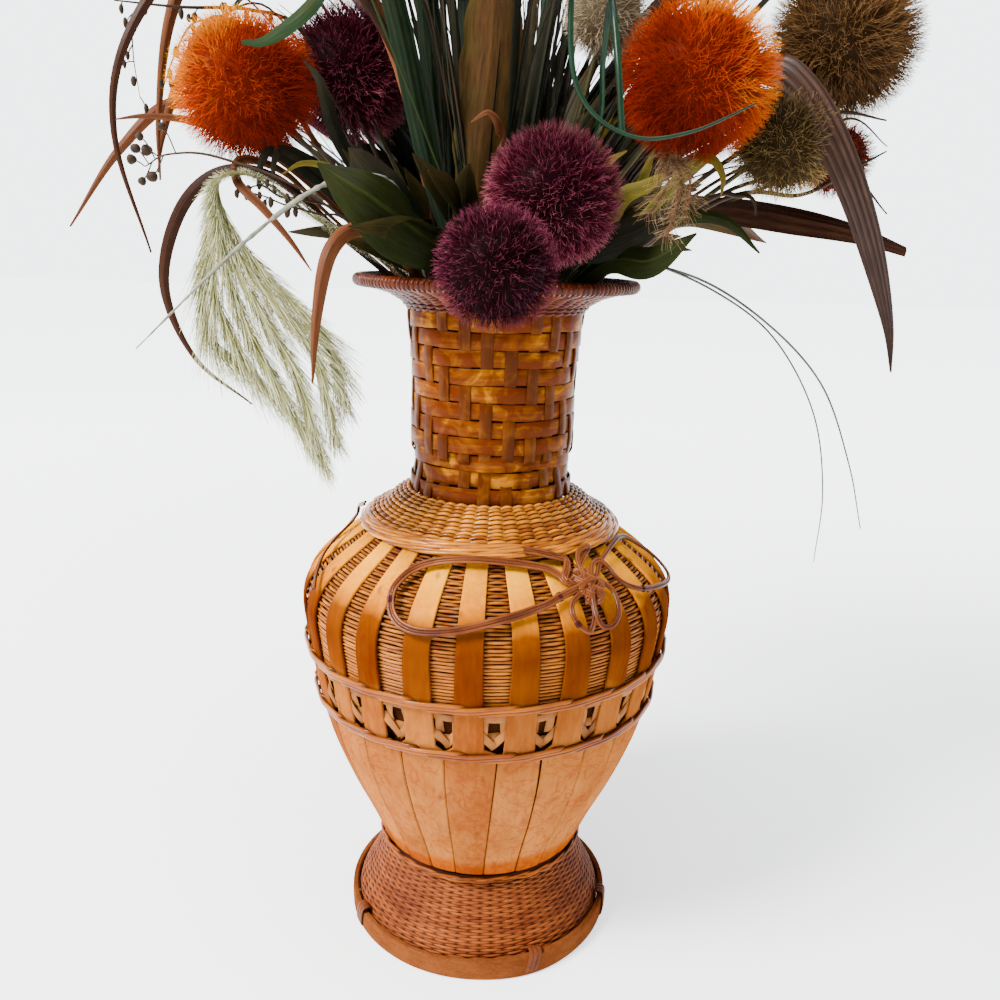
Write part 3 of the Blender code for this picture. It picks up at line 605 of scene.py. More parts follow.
def plain_rows(rows, spokes, depth, seed):
    """One strand to each row. It passes before one spoke and behind the next, and the next row the other way."""
    chance = random.Random(seed)
    strands = []
    for index, row in enumerate(rows):
        sign = 1 if index % 2 else -1
        lag = chance.uniform(-0.2, 0.2)

        def wave(azimuth):
            over = sign * math.cos(math.radians(azimuth - FRONT_STAVE) * spokes / 2 + lag)
            # The third value, how deep the strand lies, becomes painted shade in cane_finish.
            return depth * over, 0.00012 * math.sin(math.radians(azimuth) * 9 + index), 0.95 * max(-over, 0.0) ** 6

        strands.append(woven_strand(row, wave, chance.random(), spokes * 4, FRONT_STAVE))
    return strands


foot_twining = lay_cane("foot_twining", plain_rows(skirt_rows, 68, 0.0004, 11), skirt_finish, 0.0018, 0.0014, 5)
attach(foot_twining, "root")
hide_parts("foot_skirt")


def upright_spokes(profile, count, set_in, seed, samples=14):
    """Flat uprights that follow a profile from bottom to top."""
    chance = random.Random(seed)
    low, high = profile[0][0], profile[-1][0]
    strands = []
    for k in range(count):
        azimuth = FRONT_STAVE + 360 * k / count + chance.uniform(-0.4, 0.4)
        points, outs = [], []
        for i in range(samples):
            height = low + (high - low) * i / (samples - 1)
            points.append(polar(azimuth, value_at(profile, height) - set_in, height))
            outs.append(polar(azimuth, 1, 0))
        strands.append((points, outs, chance.random(), False, None))
    return strands


spoke_finish = cane_finish("spoke_cane", (0.10, 0.022, 0.006), (0.04, 0.007, 0.002), gloss=0.5, coat=0.1)
foot_spokes = lay_cane("foot_spokes", upright_spokes(skirt_profile, 48, 0.0019, 12), spoke_finish, 0.0042, 0.0010)
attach(foot_spokes, "root")

core_finish = cane_finish("foot_core", (0.055, 0.011, 0.003), (0.020, 0.004, 0.001), gloss=0.7, coat=0.0, groove_shade=0.0)
core_heights = [0.003, 0.020, 0.040, skirt_profile[-1][0] - 0.001]
core_outer = [(value_at(skirt_profile, z) - 0.0032, z) for z in core_heights]
core_top = core_outer[-1][0]
core_lip = [(core_top - 0.0022, core_heights[-1] + 0.0035), (core_top - 0.0034, core_heights[-1] + 0.0030)]
core_inner = [(r - 0.0010, z) for r, z in reversed(core_outer)]
foot_core = turned("foot_core", core_outer + core_lip + core_inner, core_finish, steps=96)
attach(foot_core, "root")


# Waist band --------------------------------------------------------------------------------------------------
# A thin plait of three canes wound tight round the narrowest place, where the staves end and the skirt begins.

waist_profile = outline("waist_band")
waist_finish = cane_finish("waist_cane", (0.33, 0.080, 0.006), (0.06, 0.009, 0.001), gloss=0.4, coat=0.0)
WAIST_CANE = 0.0022
WAIST_CROSSINGS = 9


def plaited_band(profile, count, crossings, depth, sway, seed):
    """Canes that pass over and under each other round a band, in the figure of eight of a flat plait."""
    chance = random.Random(seed)
    middle = (profile[0][0] + profile[-1][0]) / 2
    radius = value_at(profile, middle) - WAIST_CANE * 0.75
    strands = []
    for k in range(count):
        lag = math.tau * k / count

        def wave(azimuth):
            turn = math.radians(azimuth) * crossings + lag
            return depth * math.sin(2 * turn), sway * math.sin(turn) + 0.0003 * math.sin(math.radians(azimuth) * 5)

        strands.append(woven_strand((radius, middle, 1.0, 0.0), wave, chance.random(), crossings * 24))
    return strands


waist_strands = plaited_band(waist_profile, 3, WAIST_CROSSINGS, 0.0004, 0.0011, 21)
waist_plait = lay_cane("waist_plait", waist_strands, waist_finish, 0.0018, 0.0016, 6)
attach(waist_plait, "root")
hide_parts("waist_band")


# Inner basket ------------------------------------------------------------------------------------------------
# The vessel behind the staves: round wicker wefts pass before and behind the uprights in turn, close
# together over the belly, on a lining that closes the basket and carries its floor. The lining's
# near-black colour is painted shade for the inside of the basket.

STAVE_THICK = 0.0018
stave_profile = outline("bamboo_staves")
basket_low, basket_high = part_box("inner_basket")
BAND_GAP_TOP = 0.187
WEFT_PITCH = 0.0020
PACKED_BELOW, LOOSE_ABOVE = 0.206, 0.230

# painted shade: the lining's near-black colour stands for the shade inside the basket
lining_shade_finish, lining_tree, lining_shader = new_material("dark_lining_shade")
lining_grain = noise(lining_tree, in_piece(lining_tree), 160, 4)
feed(lining_shader, {
    "Base Color": blend(lining_tree, lining_grain, (0.010, 0.003, 0.001), (0.045, 0.013, 0.004)), "Roughness": 0.8,
    "Specular IOR Level": 0.0,
})

LINING_SET_BACK = 0.0046
LINING_WALL = 0.0014
lining_heights = [basket_high.z - (basket_high.z - stave_profile[0][0]) * k / 24 for k in range(25)]
lining_outer = [(value_at(stave_profile, z) - LINING_SET_BACK, z) for z in reversed(lining_heights)]
lining_inner = [(r - LINING_WALL, z) for r, z in reversed(lining_outer[1:])]
lining_floor = [(0.0001, basket_low.z + 0.0030), (0.0001, basket_low.z), (0.0555, basket_low.z)]
basket_lining = turned("basket_lining", lining_outer + lining_inner + lining_floor, lining_shade_finish, steps=72)
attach(basket_lining, "root")
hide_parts("inner_basket")


def wicker_rows(profile, pitch, seed):
    """Wefts that pass before one upright and behind the next, changing over with every row.

    Low on the belly they are packed so tight that they hardly bend.
    """
    chance = random.Random(seed)
    strands = []
    for index, row in enumerate(rows_along(profile, pitch)):
        sign = 1 if index % 2 else -1
        loose = min(max((row[1] - PACKED_BELOW) / (LOOSE_ABOVE - PACKED_BELOW), 0.0), 1.0)
        depth = 0.00015 + 0.0006 * loose
        sink = -0.0003 * loose
        lag = chance.uniform(-0.15, 0.15)
        jitter = [chance.uniform(-0.00014, 0.00014) for _ in range(STAVE_COUNT * 2)]

        def wave(azimuth):
            turn = math.radians(azimuth - FRONT_STAVE - STAVE_PITCH / 2) * STAVE_COUNT * 1.5 + lag
            near = jitter[int(azimuth / 360 * STAVE_COUNT * 2) % (STAVE_COUNT * 2)]
            # painted shade: the third value darkens the weft next to each stave's edge and where it dives behind a
            # stave
            from_gap = abs((azimuth - FRONT_STAVE) % STAVE_PITCH - STAVE_PITCH / 2)
            shaded = min(max((from_gap - 2.2) / 2.2, 0.0), 1.0)
            dive = loose * (0.5 - 0.5 * sign * math.cos(turn))
            return sink + sign * depth * math.cos(turn), near, min(0.45 * dive + 0.75 * shaded, 1.0)

        strands.append(woven_strand(row, wave, chance.random(), STAVE_COUNT * 9, FRONT_STAVE))
    return strands


wicker_finish = cane_finish(
    "wicker_cane", (0.40, 0.122, 0.011), (0.17, 0.034, 0.003), gloss=0.42, coat=0.4, groove_shade=0.85,
)
weft_heights = [BAND_GAP_TOP] + [z for z, _ in stave_profile if z > BAND_GAP_TOP]
weft_profile = [(z, value_at(stave_profile, z) - STAVE_THICK - 0.0016) for z in weft_heights]
wicker_weave = lay_cane("wicker_weave", wicker_rows(weft_profile, WEFT_PITCH, 31), wicker_finish, 0.0017, 0.0017, 6)
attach(wicker_weave, "root")


# Lattice between the bands -----------------------------------------------------------------------------------
# Pale leftover splits, folded over one another in the openings between the two bands. Dark gaps show
# the lining behind them, painted near black as the shade inside the basket.

LATTICE_LOW, LATTICE_HIGH = 0.1615, 0.1860


def lattice_strands(seed):
    """In each opening two short uprights, a split across them, two folded to a point below and one behind."""
    chance = random.Random(seed)
    strands = []
    for k in range(STAVE_COUNT):
        middle = FRONT_STAVE + (k + 0.5) * STAVE_PITCH + chance.uniform(-1.4, 1.4)
        rise = LATTICE_HIGH - LATTICE_LOW
        laid = [
            ((-2.6, 1.05), (chance.uniform(-3.4, -1.8), chance.uniform(0.30, 0.45)), 0.0036),
            ((2.6, 1.05), (chance.uniform(1.8, 3.4), chance.uniform(0.30, 0.45)), 0.0036),
            ((-5.5, chance.uniform(0.78, 0.94)), (5.5, chance.uniform(0.78, 0.96)), 0.0028),
            ((-5.0, chance.uniform(0.48, 0.62)), (0.6, chance.uniform(0.02, 0.12)), 0.0024),
            ((5.0, chance.uniform(0.48, 0.62)), (-0.6, chance.uniform(0.02, 0.12)), 0.0031),
            ((-5.0, chance.uniform(0.10, 0.40)), (5.0, chance.uniform(0.10, 0.40)), 0.0044),
        ]
        for (from_side, from_level), (to_side, to_level), layer in laid:
            curl = chance.uniform(-1, 1)
            points, outs = [], []
            for i in range(9):
                share = i / 8
                bow = math.sin(math.pi * share)
                z = LATTICE_LOW + rise * (from_level + (to_level - from_level) * share + 0.06 * curl * bow)
                azimuth = middle + from_side + (to_side - from_side) * share
                points.append(polar(azimuth, value_at(stave_profile, z) - layer + 0.0008 * bow, z))
                outs.append(polar(azimuth + 22 * curl * math.sin(math.tau * share), 1, 0.25 * curl))
            strands.append((points, outs, chance.random(), False, None))
    return strands


lattice_finish = cane_finish("pale_split", (0.34, 0.120, 0.022), (0.13, 0.036, 0.007), gloss=0.5, coat=0.1)
band_lattice = lay_cane("band_lattice", lattice_strands(41), lattice_finish, 0.0044, 0.0008)
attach(band_lattice, "root")


# Bamboo staves -----------------------------------------------------------------------------------------------
# Twenty-four wide splits of bamboo stand edge to edge from the waist up to the lower band, then narrow
# and run free over the belly to their cut ends under the shoulder. Below the bend they are darker, partly
# their own deeper colour and partly painted shade, and the upper slope carries a painted highlight.

stave_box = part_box("bamboo_staves")
STAVE_WIDTHS = [(0.1625, 0.0170), (0.180, 0.0160), (0.200, 0.0152), (0.220, 0.0145), (0.238, 0.0135),
                (stave_box[1].z, 0.0113)]
SPLIT_HEIGHT = 0.1598
STAVE_ROWS = 58


def one_stave(index, seams, chance):
    """Rings of points up one stave: a crowned face with eased edges, and a flat back.

    Below the split its edges follow the seams that it shares with its neighbours.
    """
    azimuth = FRONT_STAVE + index * STAVE_PITCH
    width_share = chance.uniform(0.95, 1.05)
    drift = chance.uniform(-0.4, 0.4)
    top = stave_box[1].z - chance.uniform(0.0, 0.0025)
    proud = chance.uniform(-0.0003, 0.0002)
    lean = chance.uniform(-0.3, 0.3)
    rings = []
    for row in range(STAVE_ROWS):
        share = row / (STAVE_ROWS - 1)
        height = stave_box[0].z + (top - stave_box[0].z) * share
        radius = value_at(stave_profile, height) - 0.0003
        if height <= SPLIT_HEIGHT:
            low_share = (height - stave_box[0].z) / (SPLIT_HEIGHT - stave_box[0].z)
            edges = []
            for side in (0, 1):
                start, end, open_share = seams[(index + side) % STAVE_COUNT]
                seam = (side - 0.5) * STAVE_PITCH + start + (end - start) * low_share
                gap = math.degrees((0.00010 + 0.0006 * open_share * (0.35 + 0.65 * low_share ** 3)) / radius)
                edges.append(seam + gap * (1 - 2 * side))
            left, right = edges
        else:
            half = math.degrees(value_at(STAVE_WIDTHS, height) / 2 * width_share / radius)
            left, right = drift + lean * share - half, drift + lean * share + half
        ahead = value_at(stave_profile, height + 0.001) - value_at(stave_profile, height - 0.001)
        ring = []
        for across, depth in ((-1, 0.75), (-0.94, 0.2), (-0.6, 0.03), (0, 0), (0.6, 0.03), (0.94, 0.2), (1, 0.75),
                              (0.97, 1.6), (-0.97, 1.6)):
            turn = azimuth + (left + right) / 2 + across * (right - left) / 2
            outward = (polar(turn, 0.002, 0) + Vector((0, 0, -ahead))).normalized()
            ring.append(polar(turn, radius + proud, height) - outward * (depth * 0.0011))
        rings.append(ring)
    return rings


stave_shape = bmesh.new()
stave_tone = stave_shape.verts.layers.float.new("tone")
stave_chance = random.Random(51)
stave_seams = [
    (stave_chance.uniform(-1.9, 1.9), stave_chance.uniform(-1.2, 1.2), stave_chance.choice((0.1, 0.2, 0.5, 0.8)))
    for _ in range(STAVE_COUNT)
]
for index in range(STAVE_COUNT):
    tone = stave_chance.random()
    rings = []
    for ring in one_stave(index, stave_seams, stave_chance):
        rings.append([stave_shape.verts.new(point) for point in ring])
        for vertex in rings[-1]:
            vertex[stave_tone] = tone
    for low_ring, high_ring in zip(rings, rings[1:]):
        for i, vertex in enumerate(low_ring):
            j = (i + 1) % len(low_ring)
            stave_shape.faces.new((vertex, low_ring[j], high_ring[j], high_ring[i]))
    stave_shape.faces.new(rings[0])
    stave_shape.faces.new(rings[-1])
stave_finish = bamboo_finish(
    "stave_bamboo", (0.6, 0.3, 0.1), (0.3, 0.1, 0.04), (1, 1, 0.10), gloss=0.27, spots=0.5, stains=0.5,
    matt_below=0.195,
    # painted light by height: the dark rows from 0.194 to 0.229 are partly painted shade below the bend, and the
    # light rows at 0.240 and 0.250 are a painted highlight on the upper slope
    by_height=[
        (0.056, (0.30, 0.060, 0.001), (0.17, 0.024, 0.0005)), (0.066, (0.34, 0.074, 0.002), (0.20, 0.032, 0.001)),
        (0.071, (0.40, 0.140, 0.028), (0.23, 0.062, 0.010)), (0.120, (0.36, 0.124, 0.025), (0.22, 0.056, 0.009)),
        (0.186, (0.29, 0.090, 0.014), (0.18, 0.038, 0.004)), (0.194, (0.15, 0.034, 0.0006), (0.085, 0.012, 0.0002)),
        (0.216, (0.115, 0.024, 0.0003), (0.070, 0.009, 0.0001)),
        (0.229, (0.17, 0.040, 0.0002), (0.10, 0.017, 0.0001)), (0.240, (0.72, 0.235, 0.0), (0.44, 0.115, 0.0)),
        (0.250, (0.84, 0.335, 0.0), (0.56, 0.185, 0.0)), (0.262, (0.58, 0.220, 0.0), (0.38, 0.120, 0.0)),
    ],
)
staves = plain_mesh("staves", stave_shape, stave_finish, smooth_angle=35)
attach(staves, "root")
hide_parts("bamboo_staves")


# Bands -------------------------------------------------------------------------------------------------------
# Two bands of three thin canes each hold the staves. They run side by side, and at every gap each moves up
# a place while the uppermost dives between the staves and comes out again as the lowest.

band_finish = cane_finish("band_cane", (0.30, 0.076, 0.003), (0.10, 0.015, 0.001), gloss=0.3, coat=0.8, patch=40.0)
BAND_CANE = 0.0023
BAND_DIVE = 0.45
BAND_DEPTH = 0.0026
BAND_STEPS = 14


def band_canes(node, seed):
    """Three canes round a band."""
    chance = random.Random(seed)
    profile = outline(node)
    middle = (profile[0][0] + profile[-1][0]) / 2
    slope = (value_at(stave_profile, middle + 0.003) - value_at(stave_profile, middle - 0.003)) / 0.006
    shifts = [chance.uniform(-0.10, 0.10) for _ in range(STAVE_COUNT + 1)]
    strands = []
    for strand in range(3):
        points, outs, depths = [], [], []
        for k in range(STAVE_COUNT * BAND_STEPS):
            place = k / BAND_STEPS
            walk = (place + 0.5 + BAND_DIVE / 2 + strand + shifts[int(place)] * math.sin(math.pi * (place % 1))) % 3
            if walk < 3 - BAND_DIVE:
                level, dive = 2 * walk / (3 - BAND_DIVE) - 1, 0.0
            else:
                part = (walk - 3 + BAND_DIVE) / BAND_DIVE
                level, dive = 1 - 2 * part * part * (3 - 2 * part), BAND_DEPTH * math.sin(math.pi * part)
            azimuth = FRONT_STAVE + STAVE_PITCH * place
            over = 0.00030 * math.cos(math.tau * place)
            z = middle + level * BAND_CANE * 0.96 + 0.0003 * math.sin(math.radians(azimuth) * 7 + seed)
            r = value_at(stave_profile, middle) + slope * (z - middle) + BAND_CANE * 0.50 + over - dive
            points.append(polar(azimuth, r, z))
            outs.append(polar(azimuth, 1, 0))
            # The dive share, how deep the cane lies, becomes painted shade in cane_finish.
            depths.append(min(dive / BAND_DEPTH, 1.0))
        strands.append((points, outs, (chance.random(), depths), True, None))
    return strands


for node, seed in (("lower_band", 61), ("upper_band", 62)):
    band = lay_cane(f"{node}_canes", band_canes(node, seed), band_finish, BAND_CANE, 0.0021, 8)
    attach(band, "root")
    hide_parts(node)


# Shoulder ----------------------------------------------------------------------------------------------------
# Rows of varnished round cane are twined over the bent-in ends of the uprights, from a corded edge above
# the staves up to the foot of the neck.

shoulder_profile = outline("shoulder_weave")
shoulder_finish = cane_finish(
    "shoulder_cane", (0.66, 0.215, 0.008), (0.15, 0.026, 0.002), gloss=0.25, coat=1.2, patch=60.0,
)
shoulder_wall = [(z, r - 0.0012) for z, r in shoulder_profile]
shoulder_rows = rows_along(shoulder_wall, 0.0026, ease=0.0002)
shoulder_strands = twined_rows(shoulder_rows[3:], 48, 0.00105, 0.00025, 71)
cord_chance = random.Random(72)
for step, row in enumerate(shoulder_rows[:3]):
    for strand in range(3):
        lag = strand * math.tau / 3 + step

        def cord_wave(azimuth):
            turn = math.radians(azimuth) * 8 + lag
            return 0.0004 + 0.0009 * math.cos(turn), 0.0009 * math.sin(turn)

        shoulder_strands.append(woven_strand(row, cord_wave, cord_chance.random(), 192))
shoulder_twining = lay_cane("shoulder_twining", shoulder_strands, shoulder_finish, 0.0023, 0.0019, 6)
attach(shoulder_twining, "root")
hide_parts("shoulder_weave")

shoulder_spokes = lay_cane(
    "shoulder_spokes", upright_spokes(shoulder_wall, 48, 0.0008, 73, samples=6), lattice_finish, 0.0040, 0.0011,
)
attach(shoulder_spokes, "root")


# Neck --------------------------------------------------------------------------------------------------------
# Flat amber splits are plaited in a twill: each level strip passes over two uprights and under two, one
# upright further along in every row. The varnish is deep and burnt red in places.

neck_profile = outline("neck_weave")
neck_low, neck_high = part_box("neck_weave")
NECK_ROWS = 11
NECK_STRIP = 0.0009
NECK_DEPTH = 0.00050
neck_rise = (neck_high.z - neck_low.z) / NECK_ROWS


def twill(row, upright):
    """1 where the upright lies on top and -1 where the level strip does, easing over between them."""
    return max(-1.0, min(1.0, 1.7 * math.cos((row + upright - 0.5) * math.pi / 2)))


def neck_radius(height):
    """The middle of the plait at a height."""
    return value_at(neck_profile, height) - NECK_DEPTH - NECK_STRIP / 2


def level_strips(seed):
    """The level strips of the plait, one ring to each row."""
    chance = random.Random(seed)
    strands = []
    for row in range(NECK_ROWS):
        height = neck_low.z + (row + 0.5) * neck_rise
        points, outs = [], []
        phase = chance.uniform(0, math.tau)
        for k in range(STAVE_COUNT * 6):
            azimuth = FRONT_STAVE + 360 * k / (STAVE_COUNT * 6)
            lift = -NECK_DEPTH * twill(row, k / 6)
            wobble = 0.0003 * math.sin(math.radians(azimuth) * 5 + phase)
            points.append(polar(azimuth, neck_radius(height) + lift, height + wobble))
            outs.append(polar(azimuth, 1, 0))
        strands.append((points, outs, chance.random(), True, None))
    return strands


def upright_strips(seed):
    """The upright strips of the plait, one above each stave."""
    chance = random.Random(seed)
    strands = []
    for upright in range(STAVE_COUNT):
        azimuth = FRONT_STAVE + upright * STAVE_PITCH + chance.uniform(-0.7, 0.7)
        points, outs = [], []
        steps = NECK_ROWS * 6
        for k in range(steps + 1):
            height = neck_low.z + (neck_high.z - neck_low.z) * k / steps
            lift = NECK_DEPTH * twill(k / 6 - 0.5, upright)
            points.append(polar(azimuth, neck_radius(height) + lift, height))
            outs.append(polar(azimuth, 1, 0))
        strands.append((points, outs, chance.random(), False, None))
    return strands


def plait_finish(name, light, middle, burnt, stretch):
    """Deep amber varnish with burnt clouds on flat splits, each strip in its own tone and its own grain."""
    made, tree, shader = new_material(name)
    place, tone = in_piece(tree), attribute(tree, "tone")
    moved = vectors(tree, "ADD", place, scaled(tree, (2.3, 4.1, 3.7), tone))
    cloud = noise(tree, moved, 62, 3, Distortion=1.2)
    grain = add_node(tree, "ShaderNodeMapping", {"Vector": moved, "Scale": stretch})
    fibre = noise(tree, grain, 620, 3)
    skewed = add_node(tree, "ShaderNodeMapping", {"Vector": moved, "Rotation": (0.4, 0.7, 0.2), "Scale": (1, 1, 1.8)})
    burn = mapped(tree, noise(tree, skewed, 46, 0.5, Distortion=0.4), (0.505, 0.525), (0, 0.12))
    mixed = maths(tree, "ADD", maths(tree, "MULTIPLY_ADD", fibre, 0.35, cloud), burn)
    toned = maths(tree, "MULTIPLY_ADD", tone, 0.10, mixed)
    feed(shader, {
        "Base Color": colour_ramp(tree, toned, [(0.50, light), (0.86, burnt), (0.68, middle)]), "Roughness": 0.30,
        "Specular IOR Level": 0.02, "Coat Weight": 0.04, "Coat Roughness": 0.12,
        "Normal": relief(tree, fibre, 0.25, 0.0004),
    })
    return made


level_finish = plait_finish(
    "amber_level_split", (0.34, 0.115, 0.0005), (0.140, 0.036, 0.0003), (0.080, 0.013, 0.0002), (0.12, 0.12, 1),
)
upright_finish = plait_finish(
    "brown_upright_split", (0.130, 0.040, 0.003), (0.090, 0.023, 0.0015), (0.055, 0.011, 0.0006), (1, 1, 0.10),
)
neck_levels = lay_cane("neck_levels", level_strips(81), level_finish, neck_rise * 0.93, NECK_STRIP)
neck_uprights = lay_cane("neck_uprights", upright_strips(82), upright_finish, 0.0066, NECK_STRIP)
# painted shade: the core behind the plait wears the lining's near-black colour
neck_core = turned(
    "neck_core",
    [(value_at(neck_profile, z) - 0.0034, z) for z in (0.280, 0.300, 0.330, 0.360, 0.3828)]
    + [(value_at(neck_profile, z) - 0.0044, z) for z in (0.3828, 0.360, 0.330, 0.300, 0.280)],
    lining_shade_finish, steps=72,
)
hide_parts("neck_weave")
for piece in (neck_levels, neck_uprights, neck_core):
    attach(piece, "root")


# Collar ------------------------------------------------------------------------------------------------------
# Above the plait fine cane is twined in rows round the outward flare, out to the underside of the rim.

collar_low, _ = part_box("collar_weave")
COLLAR_PATH = [(0.0493, collar_low.z + 0.0002), (0.0530, collar_low.z + 0.0045), (0.0600, collar_low.z + 0.0085),
               (0.0690, collar_low.z + 0.0112), (0.0740, collar_low.z + 0.0124)]


def collar_rows(count):
    """Rows laid at equal steps along the collar's flare."""
    spans = [math.dist(a, b) for a, b in zip(COLLAR_PATH, COLLAR_PATH[1:])]
    rows = []
    for row in range(count):
        want = sum(spans) * row / (count - 1)
        k = 0
        while k < len(spans) - 1 and want > spans[k]:
            want -= spans[k]
            k += 1
        (r0, z0), (r1, z1) = COLLAR_PATH[k], COLLAR_PATH[k + 1]
        share = want / spans[k]
        rows.append((r0 + (r1 - r0) * share, z0 + (z1 - z0) * share, (z1 - z0) / spans[k], -(r1 - r0) / spans[k]))
    return rows


collar_finish = cane_finish("collar_cane", (0.16, 0.032, 0.005), (0.055, 0.006, 0.002), gloss=0.35, coat=0.35)
collar_twining = lay_cane(
    "collar_twining", twined_rows(collar_rows(11), 48, 0.0007, 0.0004, 91), collar_finish, 0.0024, 0.0019, 6,
)
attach(collar_twining, "root")
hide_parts("collar_weave")


# Rim ---------------------------------------------------------------------------------------------------------
# A thick roll closely wrapped, turn beside turn, with one long flat cane.

rim_low, rim_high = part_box("rim_binding")
RIM_TUBE = (rim_high.z - rim_low.z) / 2
RIM_RADIUS = rim_high.x - RIM_TUBE
RIM_TURNS = 166


def any_value(tree, seed, least=0.0, most=1.0, kind="FLOAT"):
    """A value of its own for every point."""
    return add_node(tree, "FunctionNodeRandomValue", {"Min": least, "Max": most, "Seed": seed}, data_type=kind)


def set_out(tree, points, piece, tilt, size, seed):
    """Sets a piece on every point, tilted and sized, each in its own tone."""
    lean = add_node(tree, "FunctionNodeEulerToRotation", {"Euler": tilt})
    turn = add_node(
        tree, "FunctionNodeRotateRotation", {"Rotation": points.outputs["Rotation"], "Rotate By": lean},
        rotation_space="LOCAL",
    )
    pieces = add_node(
        tree, "GeometryNodeInstanceOnPoints",
        {"Points": points.outputs["Points"], "Instance": piece, "Rotation": turn, "Scale": size},
    )
    return store(tree, pieces, "tone", any_value(tree, seed), "INSTANCE")


def wrap_tree():
    """A tree that sets one loop of cane, leaning a little, at every step round a ring."""
    tree = bpy.data.node_groups.new("rim_wrapping", "GeometryNodeTree")
    given = add_sockets(tree, {
        "Geometry": None, "Radius": 0.08, "Height": 0.4, "Tube": 0.004, "Turns": 160, "Cane": 0.0028, "Finish": None,
    })
    raised = add_node(tree, "ShaderNodeCombineXYZ", {2: given["Height"]})
    ring = circle(tree, given["Turns"], given["Radius"])
    ring = add_node(tree, "GeometryNodeTransform", {"Geometry": ring, "Translation": raised})
    stops = add_node(tree, "GeometryNodeCurveToPoints", {"Curve": ring}, mode="EVALUATED")
    loop = circle(tree, 12, maths(tree, "SUBTRACT", given["Tube"], 0.0005))
    section = circle(tree, 6, maths(tree, "MULTIPLY", given["Cane"], 0.5))
    section = add_node(tree, "GeometryNodeTransform", {"Geometry": section, "Scale": (0.42, 1.06, 1.0)})
    tilt = any_value(tree, 5, (0.05, -0.04, 0.0), (0.16, 0.04, 6.28), "FLOAT_VECTOR")
    wraps = set_out(tree, stops, along_lines(tree, loop, section, 1.0, capped=False), tilt, (1, 1, 1), 6)
    end_tree(tree, wraps, given["Finish"])
    return tree


rim_finish = cane_finish("rim_cane", (0.15, 0.026, 0.004), (0.055, 0.006, 0.002), gloss=0.3, coat=0.45)
rim_wrapping = lay(
    "rim_wrapping", [], wrap_tree(),
    {
        "Radius": RIM_RADIUS, "Height": (rim_low.z + rim_high.z) / 2, "Tube": RIM_TUBE - 0.0002, "Turns": RIM_TURNS,
        "Cane": 0.0029, "Finish": rim_finish,
    },
)
rim_core_points = [polar(360 * k / 96, RIM_RADIUS, (rim_low.z + rim_high.z) / 2) for k in range(96)]
rim_core = lay_cane(
    "rim_core", [(rim_core_points, [polar(360 * k / 96, 1, 0) for k in range(96)], 0.5, True, None)], rim_finish,
    2 * RIM_TUBE - 0.0012, 2 * RIM_TUBE - 0.0012, 10,
)
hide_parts("rim_binding")
for piece in (rim_wrapping, rim_core):
    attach(piece, "root")


# Loops and knot ----------------------------------------------------------------------------------------------
# Two long loops of doubled cane lie over the belly and come together in an interlaced flower knot. The
# canes are round, dark and springy, and stand a little off the staves.

LOOP_CANE = 0.0016
CORD_LIFT = 0.0062
LEFT_LOOP = [
    (31, 0.2500, -1), (26.4, 0.2505, 1), (25.1, 0.2530, 1), (20.9, 0.2562, 0), (10.1, 0.2587, 0), (-3.1, 0.2603, 1),
    (-12.6, 0.2594, 1), (-21.4, 0.2568, 0), (-27.2, 0.2526, 0), (-29.4, 0.2465, 0), (-28.6, 0.2409, -1),
    (-26.2, 0.2357, -1), (-22.5, 0.2319, -1), (-16.8, 0.2306, -1), (-8.6, 0.2325, -1), (-1.5, 0.2355, -1),
    (7.8, 0.2392, -1), (17.0, 0.2429, 0), (22.6, 0.2455, 0), (30, 0.2480, 1), (36, 0.2500, 1),
]
SHOULDER_CORD = [
    (14.0, 0.2648, -2), (18.9, 0.2635, -1), (23.7, 0.2618, 0), (28.0, 0.2596, 0), (30.7, 0.2581, 0),
    (28.9, 0.2553, 1), (26.4, 0.2518, 1), (29.0, 0.2480, 0), (34.0, 0.2462, -1),
]
BACK_LOOP = [
    (-60, 0.2320, -1), (-67, 0.2410, 0), (-75, 0.2480, 0), (-81, 0.2550, 0), (-83, 0.2620, 0), (-79, 0.2690, -1),
    (-68, 0.2745, -2),
]
RIGHT_LOOP = [
    (30.5, 0.2462, 0), (33.5, 0.2484, 1), (36.8, 0.2511, 1), (41.0, 0.2546, 0), (45.4, 0.2553, 0), (46.9, 0.2520, 0),
    (46.8, 0.2473, 0), (49.7, 0.2429, -1), (54.9, 0.2396, -1), (64.9, 0.2369, 0), (72.0, 0.2366, 1),
    (75.9, 0.2400, 1), (77.6, 0.2471, 1), (75.9, 0.2540, 1), (72.2, 0.2583, 1), (64.8, 0.2597, 1), (53.7, 0.2574, 0),
    (46.1, 0.2543, -1), (40.0, 0.2502, -1), (35.0, 0.2472, 0), (31.0, 0.2455, 0),
]
KNOT_PATH = [
    (33.5, 0.2470, 2), (34.3, 0.2520, 1), (35.2, 0.2566, 0), (38.0, 0.2608, 0), (42.9, 0.2626, 0), (43.1, 0.2603, 0),
    (37.8, 0.2569, 0), (34.0, 0.2535, 0), (31.4, 0.2480, -1), (31.0, 0.2437, 0), (31.5, 0.2398, 0), (30.3, 0.2350, 0),
    (27.9, 0.2304, 0), (25.3, 0.2337, 0), (24.4, 0.2386, 0), (25.6, 0.2428, 0), (29.5, 0.2460, 1), (34.0, 0.2495, 2),
    (38.7, 0.2486, 1), (41.3, 0.2447, 0), (40.8, 0.2400, 0), (39.1, 0.2348, 0), (35.8, 0.2310, 0), (32.5, 0.2312, 0),
    (31.2, 0.2355, 1), (32.0, 0.2415, 1),
]
KNOT_WEAVE = 4.9
